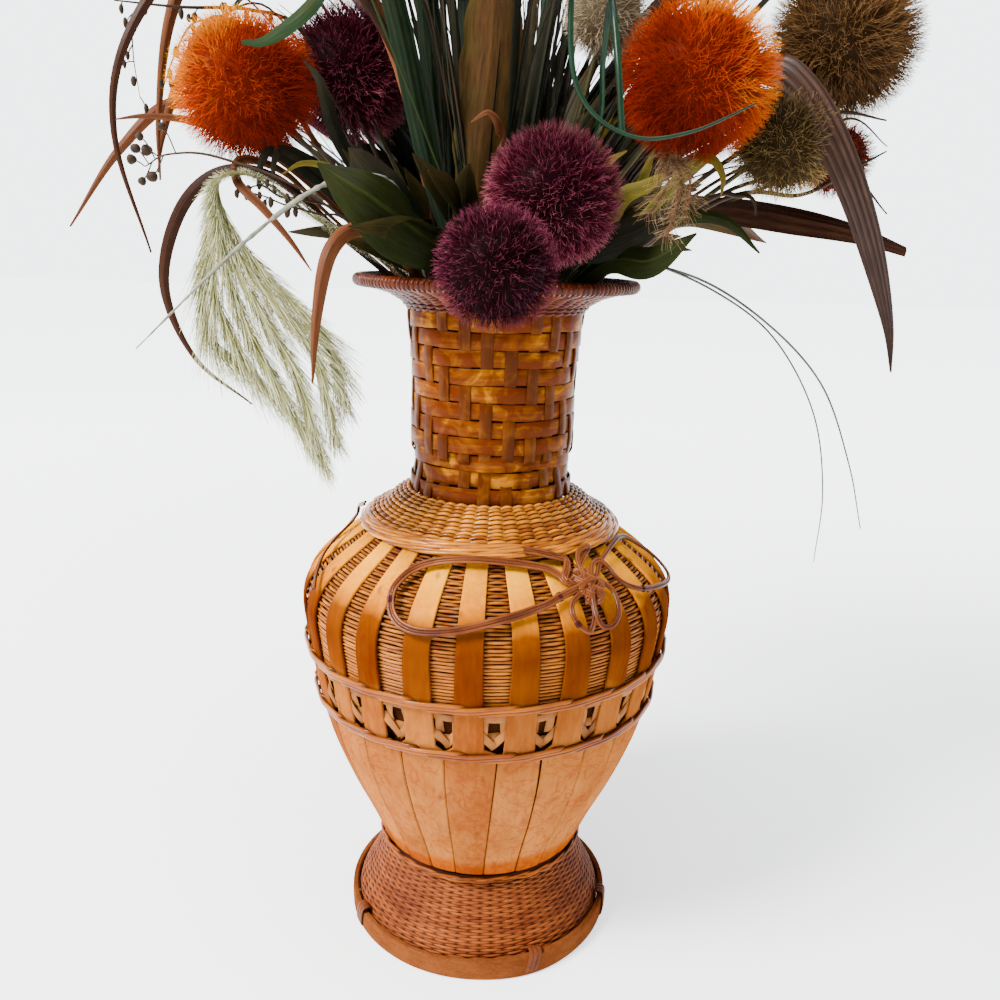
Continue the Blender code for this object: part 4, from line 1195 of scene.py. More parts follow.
KNOT_STRAPS = [
    (angle, side * KNOT_WEAVE, 8.6 if side else 10.2, (number + side + 1) % 2)
    for number, angle in enumerate((-40, 52)) for side in (-1, 0, 1)
]
KNOT_MIDDLE = (34.0, 0.2476)
THREAD_TIES = [("left", 10, 5), ("left", 18, 3), ("right", 8, 3), ("knot", 11, 4)]


def smooth_route(points, spans):
    """Points along a Catmull-Rom curve through a route's own points."""
    route = [Vector(p) for p in points]
    made = []
    for i in range(len(route) - 1):
        b, c = route[i], route[i + 1]
        a = route[i - 1] if i > 0 else b * 2 - c
        d = route[i + 2] if i + 2 < len(route) else c * 2 - b
        for k in range(spans):
            t = k / spans
            square = (2 * a - 5 * b + 4 * c - d) * t ** 2
            cube = (3 * b - a - 3 * c + d) * t ** 3
            made.append((2 * b + (c - a) * t + square + cube) / 2)
    return made + [route[-1]]


def tangents(route, closed=False):
    """The direction of a route at each of its points."""
    count = len(route)
    made = []
    for i in range(count):
        ahead = route[(i + 1) % count] if closed or i + 1 < count else route[i]
        behind = route[i - 1] if closed or i > 0 else route[i]
        made.append((ahead - behind).normalized())
    return made


def on_belly(azimuth, height, lift):
    """A place above the staves."""
    return polar(azimuth, value_at(stave_profile, height) + lift, height)


def cord_route(places, closed=False):
    """The middle line of a cord over the belly. Each place is an azimuth, a height and a level in the knot."""
    spots = [on_belly(azimuth, height, CORD_LIFT + 0.0012 * level) for azimuth, height, level in places]
    if closed:
        route = smooth_route([spots[-1]] + spots + spots[:2], 5)
        return route[5:-6]
    return smooth_route(spots, 6)


def cord_strands(route, canes, seed, closed=False):
    """Thin canes side by side along a cord, now close together and now a little apart."""
    chance = random.Random(seed)
    strands = []
    for cane in range(canes):
        phase = chance.uniform(0, math.tau)
        points, outs = [], []
        for k, (point, tangent) in enumerate(zip(route, tangents(route, closed))):
            outward = Vector((point.x, point.y, 0.06)).normalized()
            across = tangent.cross(outward).normalized()
            turn = math.tau * k / len(route) * (3 if closed else 5) + phase
            shift = (cane - (canes - 1) / 2) * LOOP_CANE * 0.90 + 0.00006 * math.sin(turn)
            points.append(point + across * shift + outward * (0.00012 * math.cos(turn)))
            outs.append(outward)
        strands.append((points, outs, chance.random(), closed, None))
    return strands


def strap_route(lean, offset, reach, parity):
    """A short straight strap of the knot's flat middle, over one strap and under the next. In millimetres."""
    azimuth, height = KNOT_MIDDLE
    radius = value_at(stave_profile, height) + CORD_LIFT
    angle = math.radians(lean)
    spots = []
    for k in range(25):
        walk = (k / 12 - 1) * reach
        across = (walk * math.cos(angle) - offset * math.sin(angle)) / 1000
        along = (walk * math.sin(angle) + offset * math.cos(angle)) / 1000
        level = 1.3 + 1.1 * math.cos(math.pi * (walk / KNOT_WEAVE + parity)) - 3.6 * abs(walk / reach) ** 6
        turn = azimuth + math.degrees(across / radius)
        spots.append(on_belly(turn, height + along * 0.68, CORD_LIFT + 0.0011 * level))
    return spots


def thread_turns(route, at, turns, canes):
    """Rings of thread drawn tight round a cord."""
    strands = []
    middle, tangent = route[at * 6], tangents(route)[at * 6]
    outward = Vector((middle.x, middle.y, 0.06)).normalized()
    across = tangent.cross(outward).normalized()
    for k in range(turns):
        points, outs = [], []
        for i in range(14):
            a = math.tau * i / 14
            spoke = across * (math.cos(a) * (LOOP_CANE * canes / 2 + 0.0001)) + outward * (math.sin(a) * 0.0009)
            points.append(middle + tangent * ((k - turns / 2) * 0.0008) + spoke)
            outs.append(spoke.normalized())
        strands.append((points, outs, 0.5, True, None))
    return strands


# painted shade at full strength in the grooves between the canes of each cord
loop_finish = cane_finish(
    "loop_cane", (0.19, 0.050, 0.012), (0.050, 0.009, 0.002), gloss=0.3, coat=0.5, patch=60.0, groove_shade=1.0,
)
thread_finish = cane_finish("dark_thread", (0.045, 0.006, 0.012), (0.020, 0.003, 0.006), gloss=0.6, coat=0.0)
left_route, right_route = cord_route(LEFT_LOOP), cord_route(RIGHT_LOOP)
knot_route = cord_route(KNOT_PATH, closed=True)
cords = {
    "cane_loop_left": cord_strands(left_route, 3, 101) + cord_strands(cord_route(SHOULDER_CORD), 3, 103)
    + cord_strands(cord_route(BACK_LOOP), 2, 104),
    "cane_loop_right": cord_strands(right_route, 2, 102),
    "cane_knot": cord_strands(knot_route, 2, 105, closed=True)
    + [cane for k, strap in enumerate(KNOT_STRAPS) for cane in cord_strands(strap_route(*strap), 3, 110 + k)],
}
for node, strands in cords.items():
    canes = lay_cane(f"{node}_canes", strands, loop_finish, LOOP_CANE, LOOP_CANE, 8)
    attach(canes, "root")
    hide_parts(node)

thread_routes = {"left": (left_route, 3), "right": (right_route, 2), "knot": (smooth_route(knot_route, 1), 2)}
thread_strands = []
for side, at, turns in THREAD_TIES:
    thread_strands += thread_turns(thread_routes[side][0], at, turns, thread_routes[side][1])
thread_ties = lay_cane("thread_ties", thread_strands, thread_finish, 0.0005, 0.0005, 5)
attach(thread_ties, "root")


# Flower heads ------------------------------------------------------------------------------------------------
# Round spiny heads on thin stems. Each is a hard ball that carries thousands of stiff, tapering hairs,
# which lean a little every way and end in a soft edge.


def mm(*points):
    """A route's points, written in millimetres."""
    return [tuple(value / 1000 for value in point) for point in points]


FLOOR_OF_VASE = 0.0540
NECK_EXIT = 0.3850
CORE_SHARE = 0.75
HAIRS_PER_AREA = 440000


def hair_nodes(tree, base, tip_share, bend):
    """One tapering, bent, three-sided hair of unit length along +Z. Its share of the way to the tip is along."""
    end = add_node(tree, "ShaderNodeCombineXYZ", {0: bend, 2: 1.0})
    line = add_node(
        tree, "GeometryNodeCurvePrimitiveBezierSegment",
        {"Resolution": 2, "Start": (0, 0, 0), "Start Handle": (0, 0, 0.35), "End Handle": (0, 0, 0.7), "End": end},
    )
    share = add_node(tree, "GeometryNodeSplineParameter").outputs["Factor"]
    thick = maths(tree, "MULTIPLY", base, mapped(tree, share, (0, 1), (1, tip_share)))
    return along_lines(tree, store(tree, line, "along", share), circle(tree, 3), thick, capped=False)


def end_hairy_tree(tree, given, dots, hair, least, most, length, seed, under):
    """Sets out hairs of a length on the dots, over what lies under them, and ends the tree."""
    tilt = any_value(tree, given["Seed"], least, most, "FLOAT_VECTOR")
    size = add_node(tree, "ShaderNodeCombineXYZ", {0: 1.0, 1: 1.0, 2: length})
    hairs = set_out(tree, dots, hair, tilt, size, seed)
    both = add_node(tree, "GeometryNodeJoinGeometry")
    tree.links.new(under, both.inputs[0])
    tree.links.new(hairs.outputs[0], both.inputs[0])
    end_tree(tree, both, given["Finish"])
    return tree


def hair_ball_tree():
    """A tree that sets hairs all over a ball, more or less upright, and keeps the ball under them."""
    tree = bpy.data.node_groups.new("hair_ball", "GeometryNodeTree")
    given = add_sockets(tree, {
        "Geometry": None, "Length": 0.01, "Width": 0.0005, "Density": 500000.0, "Bend": 0.001, "Lean": 0.6, "Seed": 1,
        "Finish": None,
    })
    dots = add_node(
        tree, "GeometryNodeDistributePointsOnFaces",
        {"Mesh": given["Geometry"], "Density": given["Density"], "Seed": given["Seed"]},
    )
    hair = hair_nodes(tree, given["Width"], 0.22, given["Bend"])
    most = add_node(tree, "ShaderNodeCombineXYZ", {0: given["Lean"], 2: math.tau})
    length = maths(tree, "MULTIPLY", any_value(tree, given["Seed"], 0.72), given["Length"])
    return end_hairy_tree(tree, given, dots, hair, (0, 0, 0), most, length, 7, given["Geometry"])


def hair_finish(name, root, body, tip, patch, shade_side=(0.6, 0, -0.8), shade_share=0.5, gloss=0.55, lit_highlight=None):
    """Stiff hairs: dark at the root, coloured on the way and light at the tip, with darker patches on the head.

    The dark patches are painted shade and gather on the side away from the light; the colour given for the other side
    is a painted highlight on the hairs there.
    """
    made, tree, shader = new_material(name)
    along, tone, spot = attribute(tree, "along"), attribute(tree, "tone"), attribute(tree, "spot", "Vector")
    ramp = colour_ramp(tree, along, [(0, root), (1, tip), (0.6, body)])
    side = vectors(tree, "DOT_PRODUCT", spot, shade_side)
    reach = maths(tree, "MULTIPLY_ADD", noise(tree, spot, 1.6, 2), 2.2, side)
    reach = maths(tree, "MULTIPLY_ADD", tone, 0.5, reach)
    # painted shade: the patch colour darkens the hairs on the side away from the light
    colour = blend(tree, mapped(tree, reach, (0.8, 1.9), (0, shade_share)), ramp, patch)
    # painted highlight on the lit side
    if lit_highlight:
        bright = maths(tree, "MULTIPLY", mapped(tree, reach, (1.1, 0.4), (0, 0.92)), along)
        colour = blend(tree, bright, colour, lit_highlight)
    dimmed = mapped(tree, tone, (0, 1), (0.45, 1.45))
    feed(shader, {"Base Color": scaled(tree, colour, dimmed), "Roughness": gloss, "Specular IOR Level": 0.02})
    return made


hair_ball = hair_ball_tree()
stem_finish = cane_finish("flower_stem", (0.10, 0.085, 0.030), (0.045, 0.030, 0.014), gloss=0.5, coat=0.0)
# Each head's patch colour is painted shade on the side away from the light; the orange heads also carry a painted
# highlight on their lit side, and orange_right is their copy with both turned the other way.
HAIR_COLOURS = {
    "orange": hair_finish(
        "orange_hairs", (0.22, 0.016, 0.0003), (0.54, 0.052, 0.0004), (0.76, 0.112, 0.0006), (0.13, 0.006, 0.0002),
        (0.75, -0.1, -0.65), 0.94, lit_highlight=(1.0, 0.46, 0.0),
    ),
    "orange_right": hair_finish(
        "orange_hairs_right", (0.18, 0.012, 0.0003), (0.45, 0.037, 0.0003), (0.68, 0.090, 0.0005),
        (0.11, 0.005, 0.0002), (-0.75, -0.1, -0.65), 0.94, lit_highlight=(1.0, 0.42, 0.0),
    ),
    "purple": hair_finish(
        "burgundy_hairs", (0.013, 0.001, 0.003), (0.080, 0.0060, 0.017), (0.56, 0.140, 0.19), (0.022, 0.001, 0.005),
        (0.5, -0.3, 0.75), 0.6,
    ),
    "purple_low": hair_finish(
        "dark_burgundy_hairs", (0.010, 0.001, 0.002), (0.032, 0.003, 0.009), (0.24, 0.046, 0.085),
        (0.008, 0.0007, 0.002),
    ),
    "tan": hair_finish(
        "tan_hairs", (0.035, 0.016, 0.005), (0.13, 0.062, 0.020), (0.36, 0.20, 0.080), (0.035, 0.015, 0.005),
    ),
    "tan_low": hair_finish(
        "olive_tan_hairs", (0.035, 0.020, 0.006), (0.17, 0.105, 0.034), (0.46, 0.32, 0.13), (0.030, 0.017, 0.006),
        (-0.4, -0.2, 0.9),
    ),
    "cream": hair_finish(
        "cream_hairs", (0.20, 0.14, 0.08), (0.50, 0.40, 0.26), (0.72, 0.62, 0.46), (0.20, 0.13, 0.07),
    ),
    "rust": hair_finish(
        "rust_hairs", (0.060, 0.008, 0.004), (0.26, 0.035, 0.012), (0.45, 0.10, 0.040), (0.050, 0.008, 0.004),
    ),
}
OUT_OF_SIGHT = ("back", "top")
UNSEEN_SHARE = 0.45
FLOWER_HEADS = [
    ("orange_left", (-0.132, -0.020, 0.492), 0.0385, (-84, 0.036), mm((-60, -6, 425))),
    ("purple_left", (-0.087, 0.038, 0.509), 0.0390, (-112, 0.034), mm((-45, 18, 430))),
    ("purple_middle", (0.026, -0.062, 0.441), 0.0345, (22, 0.026), []),
    ("purple_low", (0.000, -0.113, 0.408), 0.0285, (-3, 0.037), mm((-3, -72, 415.5))),
    ("orange_right", (0.093, -0.055, 0.497), 0.0390, (62, 0.027), mm((46, -20, 430))),
    ("tan_low", (0.149, -0.013, 0.475), 0.0300, (84, 0.039), mm((85, -4, 425))),
    ("tan_high", (0.186, 0.022, 0.531), 0.0430, (96, 0.031), mm((92, 12, 445))),
    ("cream", (0.056, 0.032, 0.543), 0.0250, (118, 0.022), []),
    ("rust_right", (0.203, 0.064, 0.475), 0.0240, (108, 0.040), mm((90, 28, 425))),
    ("orange_top", (0.020, -0.030, 0.612), 0.0370, (60, 0.006), []),
    ("purple_top", (-0.068, 0.018, 0.600), 0.0340, (-105, 0.018), []),
    ("tan_top", (0.108, 0.048, 0.606), 0.0350, (126, 0.032), mm((55, 26, 470))),
    ("purple_back", (-0.158, 0.112, 0.512), 0.0340, (-126, 0.040), mm((-70, 48, 420))),
    ("orange_back", (0.123, 0.104, 0.521), 0.0350, (128, 0.041), mm((60, 58, 420))),
    ("tan_back", (0.032, 0.108, 0.460), 0.0310, (160, 0.041), mm((20, 66, 418))),
    ("cream_back", (-0.040, 0.106, 0.600), 0.0300, (-156, 0.041), mm((-20, 55, 450))),
    ("rust_back", (-0.064, 0.112, 0.494), 0.0265, (-142, 0.041), mm((-40, 70, 430))),
]


def neck_slot(azimuth, radius):
    """The upright stretch of a stem inside the vase."""
    return [polar(azimuth, radius, FLOOR_OF_VASE), polar(azimuth, radius, NECK_EXIT)]


def carried_sides(route):
    """A side vector at each point of a route, turned as little as possible on the way."""
    made = []
    side = Vector((1, 0, 0))
    for tangent in tangents(route):
        side = (side - tangent * side.dot(tangent)).normalized()
        made.append(side)
    return made


def stem_strand(slot, points, tone, swells=None, spans=6):
    """A strand for cane_tree that stands in the vase and runs out along a free route."""
    low, high = neck_slot(*slot)
    route = [low] + smooth_route([high, *points], spans)
    widths = None
    if swells:
        stops = [(k / (len(swells) - 1), value) for k, value in enumerate(swells)]
        widths = [swells[0]] + [value_at(stops, k / (len(route) - 2)) for k in range(len(route) - 1)]
    return route, carried_sides(route), tone, False, widths


def spiny_ball(name, centre, radius):
    """A slightly uneven ball, each of its points marked with its direction from the middle."""
    shape = bmesh.new()
    bmesh.ops.create_icosphere(shape, subdivisions=3, radius=1.0)
    mesh = bpy.data.meshes.new(name)
    shape.to_mesh(mesh)
    shape.free()
    directions = [tuple(vertex.co) for vertex in mesh.vertices]
    for vertex, (x, y, z) in zip(mesh.vertices, directions):
        swell = 1 + 0.025 * math.sin(5 * x + 3 * z) * math.cos(4 * y - 2 * x)
        vertex.co = Vector(centre) + Vector((x, y, z)) * (radius * swell)
    flat = [number for direction in directions for number in direction]
    mesh.attributes.new("spot", "FLOAT_VECTOR", "POINT").data.foreach_set("vector", flat)
    return mesh


for number, (name, centre, radius, slot, bend) in enumerate(FLOWER_HEADS):
    colour = name.split("_")[0]
    ball = spiny_ball(f"head_{name}", centre, radius * CORE_SHARE)
    density = HAIRS_PER_AREA * (UNSEEN_SHARE if name.endswith(OUT_OF_SIGHT) else 1.0)
    head = grow(
        f"head_{name}", ball, hair_ball,
        {"Length": radius * (1.06 - CORE_SHARE), "Width": 0.00040, "Density": float(density), "Bend": 0.0022,
         "Lean": 0.62, "Seed": 200 + number, "Finish": HAIR_COLOURS.get(name, HAIR_COLOURS[colour])},
    )
    stem = lay_cane(f"stem_{name}", [stem_strand(slot, [*bend, centre], 0.5)], stem_finish, 0.0026, 0.0026, 6)
    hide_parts(f"pompom_{name}")
    for piece in (head, stem):
        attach(piece, "root")


# Blades and leaves -------------------------------------------------------------------------------------------
# Long dried blades and broad leaves stand in the neck among the flower stems. Each is thin, ribbed or
# folded along its middle, and bends over towards its tip.


def leaf_finish(
    name, middle, edge, tip, vein, ribs=0, gloss=0.45, shine=0.04, mottle=0.5, rib_share=0.5, tip_from=0.6
):
    """A leaf's skin: colour across and along the blade, fine long veins, and blotches."""
    made, tree, shader = new_material(name)
    across, along, run, tone = (attribute(tree, key) for key in ("across", "along", "run", "tone"))
    from_middle = maths(tree, "ABSOLUTE", across)
    sides = blend(tree, mapped(tree, from_middle, (0.25, 1)), middle, edge)
    blotch = noise(tree, in_piece(tree), 70, 4, Roughness=0.65)
    drift = maths(tree, "MULTIPLY_ADD", blotch, mottle, along)
    dry = blend(tree, mapped(tree, drift, (tip_from + mottle * 0.4, 1.0 + mottle * 0.6)), sides, tip)
    fibre_place = add_node(tree, "ShaderNodeCombineXYZ", {0: across, 1: run, 2: tone})
    stretched = add_node(tree, "ShaderNodeMapping", {"Vector": fibre_place, "Scale": (9.0, 60.0, 7.0)})
    fibre = noise(tree, stretched, 1.6, 4)
    if ribs:
        raised = mapped(tree, maths(tree, "COSINE", maths(tree, "MULTIPLY", across, math.pi * ribs)), (-1, 1))
    else:
        raised = mapped(tree, from_middle, (0.10, 0))
    veined = blend(tree, maths(tree, "MULTIPLY", raised, rib_share), dry, vein)
    feed(shader, {
        "Base Color": scaled(tree, veined, mapped(tree, fibre, (0.25, 0.75), (0.6, 1.4))),
        "Roughness": mapped(tree, blotch, (0, 1), (gloss - 0.1, gloss + 0.15)), "Specular IOR Level": shine,
        "Normal": relief(tree, maths(tree, "MULTIPLY_ADD", fibre, 0.5, raised), 0.4, 0.0004),
    })
    return made


def leaf_surface(shape, route, widths, facing, form, tone):
    """Lofts one closed, thin leaf along a route into a bmesh, and marks across, along, run and tone."""
    marks = {key: shape.verts.layers.float.get(key) or shape.verts.layers.float.new(key)
             for key in ("across", "along", "run", "tone")}
    columns = form.get("columns", 9)
    lengths = [0.0]
    for a, b in zip(route, route[1:]):
        lengths.append(lengths[-1] + (b - a).length)
    total = lengths[-1]
    start = form.get("start", 0.0)
    rings = []
    for place, tangent, point in zip(lengths, tangents(route), route):
        share = place / total
        width = value_at(widths, max(share - start, 0) / (1 - start))
        turn = Matrix.Rotation(math.radians(form.get("twist", 0) * share), 3, tangent)
        across = (turn @ tangent.cross(Vector(facing))).normalized()
        normal = across.cross(tangent)
        saw = form.get("saw", 0) * (abs((share * form.get("teeth", 40)) % 1 - 0.5) * 2 - 0.5)
        half = width / 2 * (1 + saw)
        thick = form.get("thick", 0.0005)
        face = []
        for c in range(columns):
            u = 2 * c / (columns - 1) - 1
            ease = 1 - math.sqrt(max(1 - u * u, 0))
            lift = -form.get("fold", 0.25) * half * (math.sqrt(u * u + 0.02) - 0.14)
            lift += form.get("rib_depth", 0) * half * math.cos(math.pi * form.get("ribs", 0) * u)
            waver = form.get("wave", 0) * half * u * u
            lift += waver * math.sin(math.tau * form.get("waves", 3) * share + (1.3 if u > 0 else 0))
            face.append((u, point + across * (u * half) + normal * lift, normal * (thick * (1 - 0.75 * ease))))
        ring = [(u, p) for u, p, _ in face] + [(u, p - back) for u, p, back in reversed(face)]
        made = []
        for u, p in ring:
            vertex = shape.verts.new(p)
            vertex[marks["across"]] = u
            vertex[marks["along"]] = share
            vertex[marks["run"]] = place
            vertex[marks["tone"]] = tone
            made.append(vertex)
        rings.append(made)
    for low_ring, high_ring in zip(rings, rings[1:]):
        for i, vertex in enumerate(low_ring):
            j = (i + 1) % len(low_ring)
            shape.faces.new((vertex, low_ring[j], high_ring[j], high_ring[i]))
    shape.faces.new(rings[0])
    shape.faces.new(rings[-1])


def blade(name, slot, points, widths, finish, node_slot, facing=(0, -1, 0), **form):
    """A leaf that stands in the vase and bends out along its own route."""
    low, high = neck_slot(*slot)
    free = smooth_route([high, *points], form.get("spans", 9))
    route = [low] + free
    buried = (high - low).length
    out = sum((b - a).length for a, b in zip(free, free[1:]))
    shape = bmesh.new()
    leaf_surface(shape, route, widths, facing, dict(form, start=buried / (buried + out)), 0.5)
    made = plain_mesh(f"{name}_skin", shape, finish, smooth_angle=60)
    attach(made, "root")
    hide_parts(name)


dark_skin = leaf_finish(
    "dark_blade_skin", (0.008, 0.004, 0.003), (0.014, 0.007, 0.004), (0.034, 0.012, 0.006), (0.040, 0.015, 0.009),
    gloss=0.38, rib_share=0.5,
)
copper_skin = leaf_finish(
    "copper_blade_skin", (0.050, 0.015, 0.006), (0.135, 0.050, 0.020), (0.075, 0.024, 0.009), (0.030, 0.009, 0.004),
    gloss=0.42,
)
iris_skin = leaf_finish(
    "iris_skin", (0.0018, 0.0045, 0.0022), (0.0040, 0.0090, 0.0042), (0.008, 0.009, 0.004), (0.008, 0.018, 0.007),
    ribs=4, gloss=0.4, rib_share=0.5,
)
ribbed_skin = leaf_finish(
    "ribbed_skin", (0.075, 0.040, 0.027), (0.100, 0.055, 0.036), (0.022, 0.009, 0.006), (0.010, 0.005, 0.004), ribs=5,
    gloss=0.33, shine=0.12, rib_share=0.8, tip_from=0.40,
)
leaf_skin = leaf_finish(
    "green_leaf_skin", (0.0026, 0.0040, 0.0010), (0.009, 0.017, 0.002), (0.011, 0.013, 0.003), (0.030, 0.045, 0.006),
    gloss=0.42,
)
olive_skin = leaf_finish(
    "olive_leaf_skin", (0.030, 0.020, 0.004), (0.024, 0.029, 0.004), (0.036, 0.014, 0.004), (0.055, 0.024, 0.006),
    gloss=0.45, mottle=0.8,
)
ribbon_skin = leaf_finish(
    "ribbon_leaf_skin", (0.030, 0.026, 0.007), (0.004, 0.020, 0.007), (0.008, 0.020, 0.007), (0.026, 0.024, 0.007),
    gloss=0.45,
)
fresh_skin = leaf_finish(
    "fresh_leaf_skin", (0.050, 0.062, 0.006), (0.120, 0.125, 0.012), (0.10, 0.060, 0.010), (0.045, 0.060, 0.010),
    gloss=0.45, mottle=0.7,
)
LONG_BLADE = [(0.0, 0.003), (0.2, 0.004), (0.55, 0.0075), (0.8, 0.004), (1.0, 0.001)]
blade(
    "dark_blade_left", (-66, 0.030),
    mm((-50, -10, 500), (-105, -12, 570), (-155, -18, 556), (-188, -28, 512), (-197, -30, 466), (-182, -30, 408)),
    LONG_BLADE, dark_skin, "dark_blade", facing=(0.2, -1, 0.3), fold=0.5,
)
blade(
    "copper_blade_hanging", (-98, 0.026),
    mm((-60, 6, 520), (-110, 10, 590), (-150, 4, 578), (-174, 0, 530), (-184, 0, 480), (-186, 2, 446)),
    [(0.0, 0.003), (0.3, 0.006), (0.6, 0.012), (0.8, 0.006), (1.0, 0.001)], copper_skin, "copper_blade",
    facing=(0.3, -1, 0), fold=0.6,
)
blade(
    "copper_blade_side", (-92, 0.040),
    mm((-85, 14, 430), (-140, 26, 478), (-178, 12, 488), (-207, 2, 462), (-235, -4, 420)),
    [(0.0, 0.003), (0.4, 0.006), (0.7, 0.007), (1.0, 0.001)], copper_skin, "copper_blade", facing=(0.2, -1, 0.4),
    fold=0.5,
)
blade(
    "dark_blade_curved", (-76, 0.041),
    mm(
        (-85, -10, 420), (-120, -8, 448), (-152, -2, 451), (-176, 0, 430), (-187, 0, 390), (-172, 0, 350),
        (-140, 0, 324),
    ),
    [(0.0, 0.003), (0.3, 0.005), (0.6, 0.0072), (0.85, 0.003), (1.0, 0.001)], dark_skin, "dark_blade", fold=0.4,
)
blade(
    "brown_hook_blade", (-44, 0.040),
    mm((-48, -58, 411), (-65, -76, 423.5), (-78, -88, 413), (-83.5, -96, 382), (-85, -100, 352)),
    [(0.0, 0.003), (0.3, 0.006), (0.55, 0.008), (0.8, 0.005), (1.0, 0.001)], copper_skin, "copper_blade",
    facing=(0, -1, 0.3), fold=0.6,
)
IRIS = [(0.0, 0.005), (0.3, 0.012), (0.6, 0.011), (1.0, 0.001)]
blade(
    "iris_blade_left", (-36, 0.024), mm((-38, -20, 460), (-55, -20, 530), (-78, -22, 600), (-112, -26, 668)), IRIS,
    iris_skin, "iris_green", fold=0.5,
)
blade(
    "iris_blade_middle", (-62, 0.012), mm((-33, -2, 460), (-41, 0, 540), (-54, -26, 630), (-68, -40, 722)), IRIS,
    iris_skin, "iris_green", fold=0.5,
)
blade(
    "iris_blade_right", (20, 0.008), mm((-10, 12, 470), (-20, 28, 560), (0, 52, 650), (28, 66, 745)), IRIS, iris_skin,
    "iris_green", fold=0.5,
)
blade(
    "ribbed_blade", (74, 0.033),
    mm(
        (75, 6, 465), (126, -5, 508), (139, -20, 510), (150, -28, 501), (162, -34, 484), (174, -40, 461),
        (186, -42, 436), (198, -40, 409), (209, -36, 381), (215, -32, 358),
    ),
    [(0.0, 0.004), (0.25, 0.011), (0.5, 0.0185), (0.8, 0.013), (1.0, 0.001)], ribbed_skin, "ribbed_grey",
    facing=(-0.3, -0.83, 0.35), fold=0.3, columns=31, ribs=5, rib_depth=0.045, spans=12,
)
blade(
    "dark_blade_right", (100, 0.026),
    mm((74, 18, 440), (133, 36, 443), (175, 28, 438), (210, 24, 431), (238, 24, 422)),
    [(0.0, 0.004), (0.4, 0.015), (0.7, 0.020), (1.0, 0.007)], dark_skin, "dark_blade", facing=(0, -0.85, 0.6),
    fold=0.4, columns=21, ribs=4, rib_depth=0.04,
)
blade(
    "back_blade_left", (-146, 0.036), mm((-45, 62, 470), (-85, 96, 560), (-136, 126, 592), (-190, 138, 550)),
    [(0.0, 0.004), (0.4, 0.012), (0.7, 0.013), (1.0, 0.001)], iris_skin, "iris_green", facing=(0.54, 0.84, 0),
    fold=0.5,
)
blade(
    "back_blade_right", (142, 0.036), mm((46, 70, 460), (78, 104, 540), (116, 128, 578), (165, 142, 558)),
    [(0.0, 0.004), (0.4, 0.012), (0.7, 0.014), (1.0, 0.001)], dark_skin, "dark_blade", facing=(-0.58, 0.81, 0),
    fold=0.5,
)
OBLONG = [(0.0, 0.003), (0.25, 0.016), (0.6, 0.036), (0.85, 0.022), (1.0, 0.001)]
blade(
    "broad_leaf_left", (-28, 0.034), mm((-26, -52, 412), (-40, -74, 424), (-60, -88, 438), (-83, -88, 451)), OBLONG,
    leaf_skin, "leaf_green", facing=(0.3, -1, 0.55), fold=0.35, wave=0.10, columns=15,
)
blade(
    "olive_leaf_upright", (-10, 0.018), mm((-11, -30, 430), (-10, -36, 470), (-6, -40, 515), (-6, -52, 560)),
    [(0.0, 0.003), (0.2, 0.012), (0.5, 0.030), (0.8, 0.027), (1.0, 0.002)], olive_skin, "olive_leaf",
    facing=(-0.1, -1, 0.1), fold=0.25, wave=0.14, columns=17, saw=0.10, teeth=26, spans=16,
)
blade(
    "olive_leaf_right", (52, 0.038), mm((62, -46, 418), (90, -50, 433.5), (114, -50, 433), (132, -52, 418)),
    [(0.0, 0.003), (0.4, 0.008), (0.8, 0.006), (1.0, 0.001)], leaf_skin, "olive_leaf", facing=(0, -1, 0.3), fold=0.4,
)
blade(
    "green_leaf_right", (44, 0.038), mm((56, -48, 411), (75, -66, 413), (94, -78, 426)),
    [(0.0, 0.003), (0.4, 0.010), (0.7, 0.017), (1.0, 0.001)], leaf_skin, "leaf_green", facing=(-0.4, -0.9, 0.35),
    fold=0.35, wave=0.08,
)
blade(
    "ribbon_leaf", (-16, 0.008),
    mm((-71, -60, 545), (-79, -80, 529), (-85, -90, 516), (-96, -90, 507), (-106, -90, 501), (-115, -90, 500)),
    [(0.0, 0.0015), (0.62, 0.0018), (0.76, 0.0065), (0.92, 0.0085), (1.0, 0.002)], ribbon_skin, "ribbon_green",
    facing=(-0.3, -1, 0.5), fold=0.5,
)
blade(
    "back_leaf_left", (-134, 0.033), mm((-60, 64, 430), (-102, 102, 452), (-145, 138, 440)),
    [(0.0, 0.003), (0.4, 0.026), (0.75, 0.030), (1.0, 0.001)], leaf_skin, "leaf_green", facing=(0, 0.3, 1), fold=0.3,
    wave=0.10, columns=15,
)
blade(
    "back_leaf_right", (118, 0.041), mm((80, 60, 420), (130, 88, 442), (180, 112, 425)),
    [(0.0, 0.003), (0.4, 0.024), (0.75, 0.028), (1.0, 0.001)], olive_skin, "olive_leaf", facing=(0, 0.3, 1), fold=0.3,
    wave=0.10, columns=15,
)


# Undergrowth ---------------------------------------------------------------------------------------------------
# The bunch is filled out with dark sedge, broad dull leaves and bare stems, pushed into the neck all
# round between the flower stems. The leaves are dry, lighter towards their tips, and their near-black
# colour is partly their own and partly painted shade of the dense bunch.

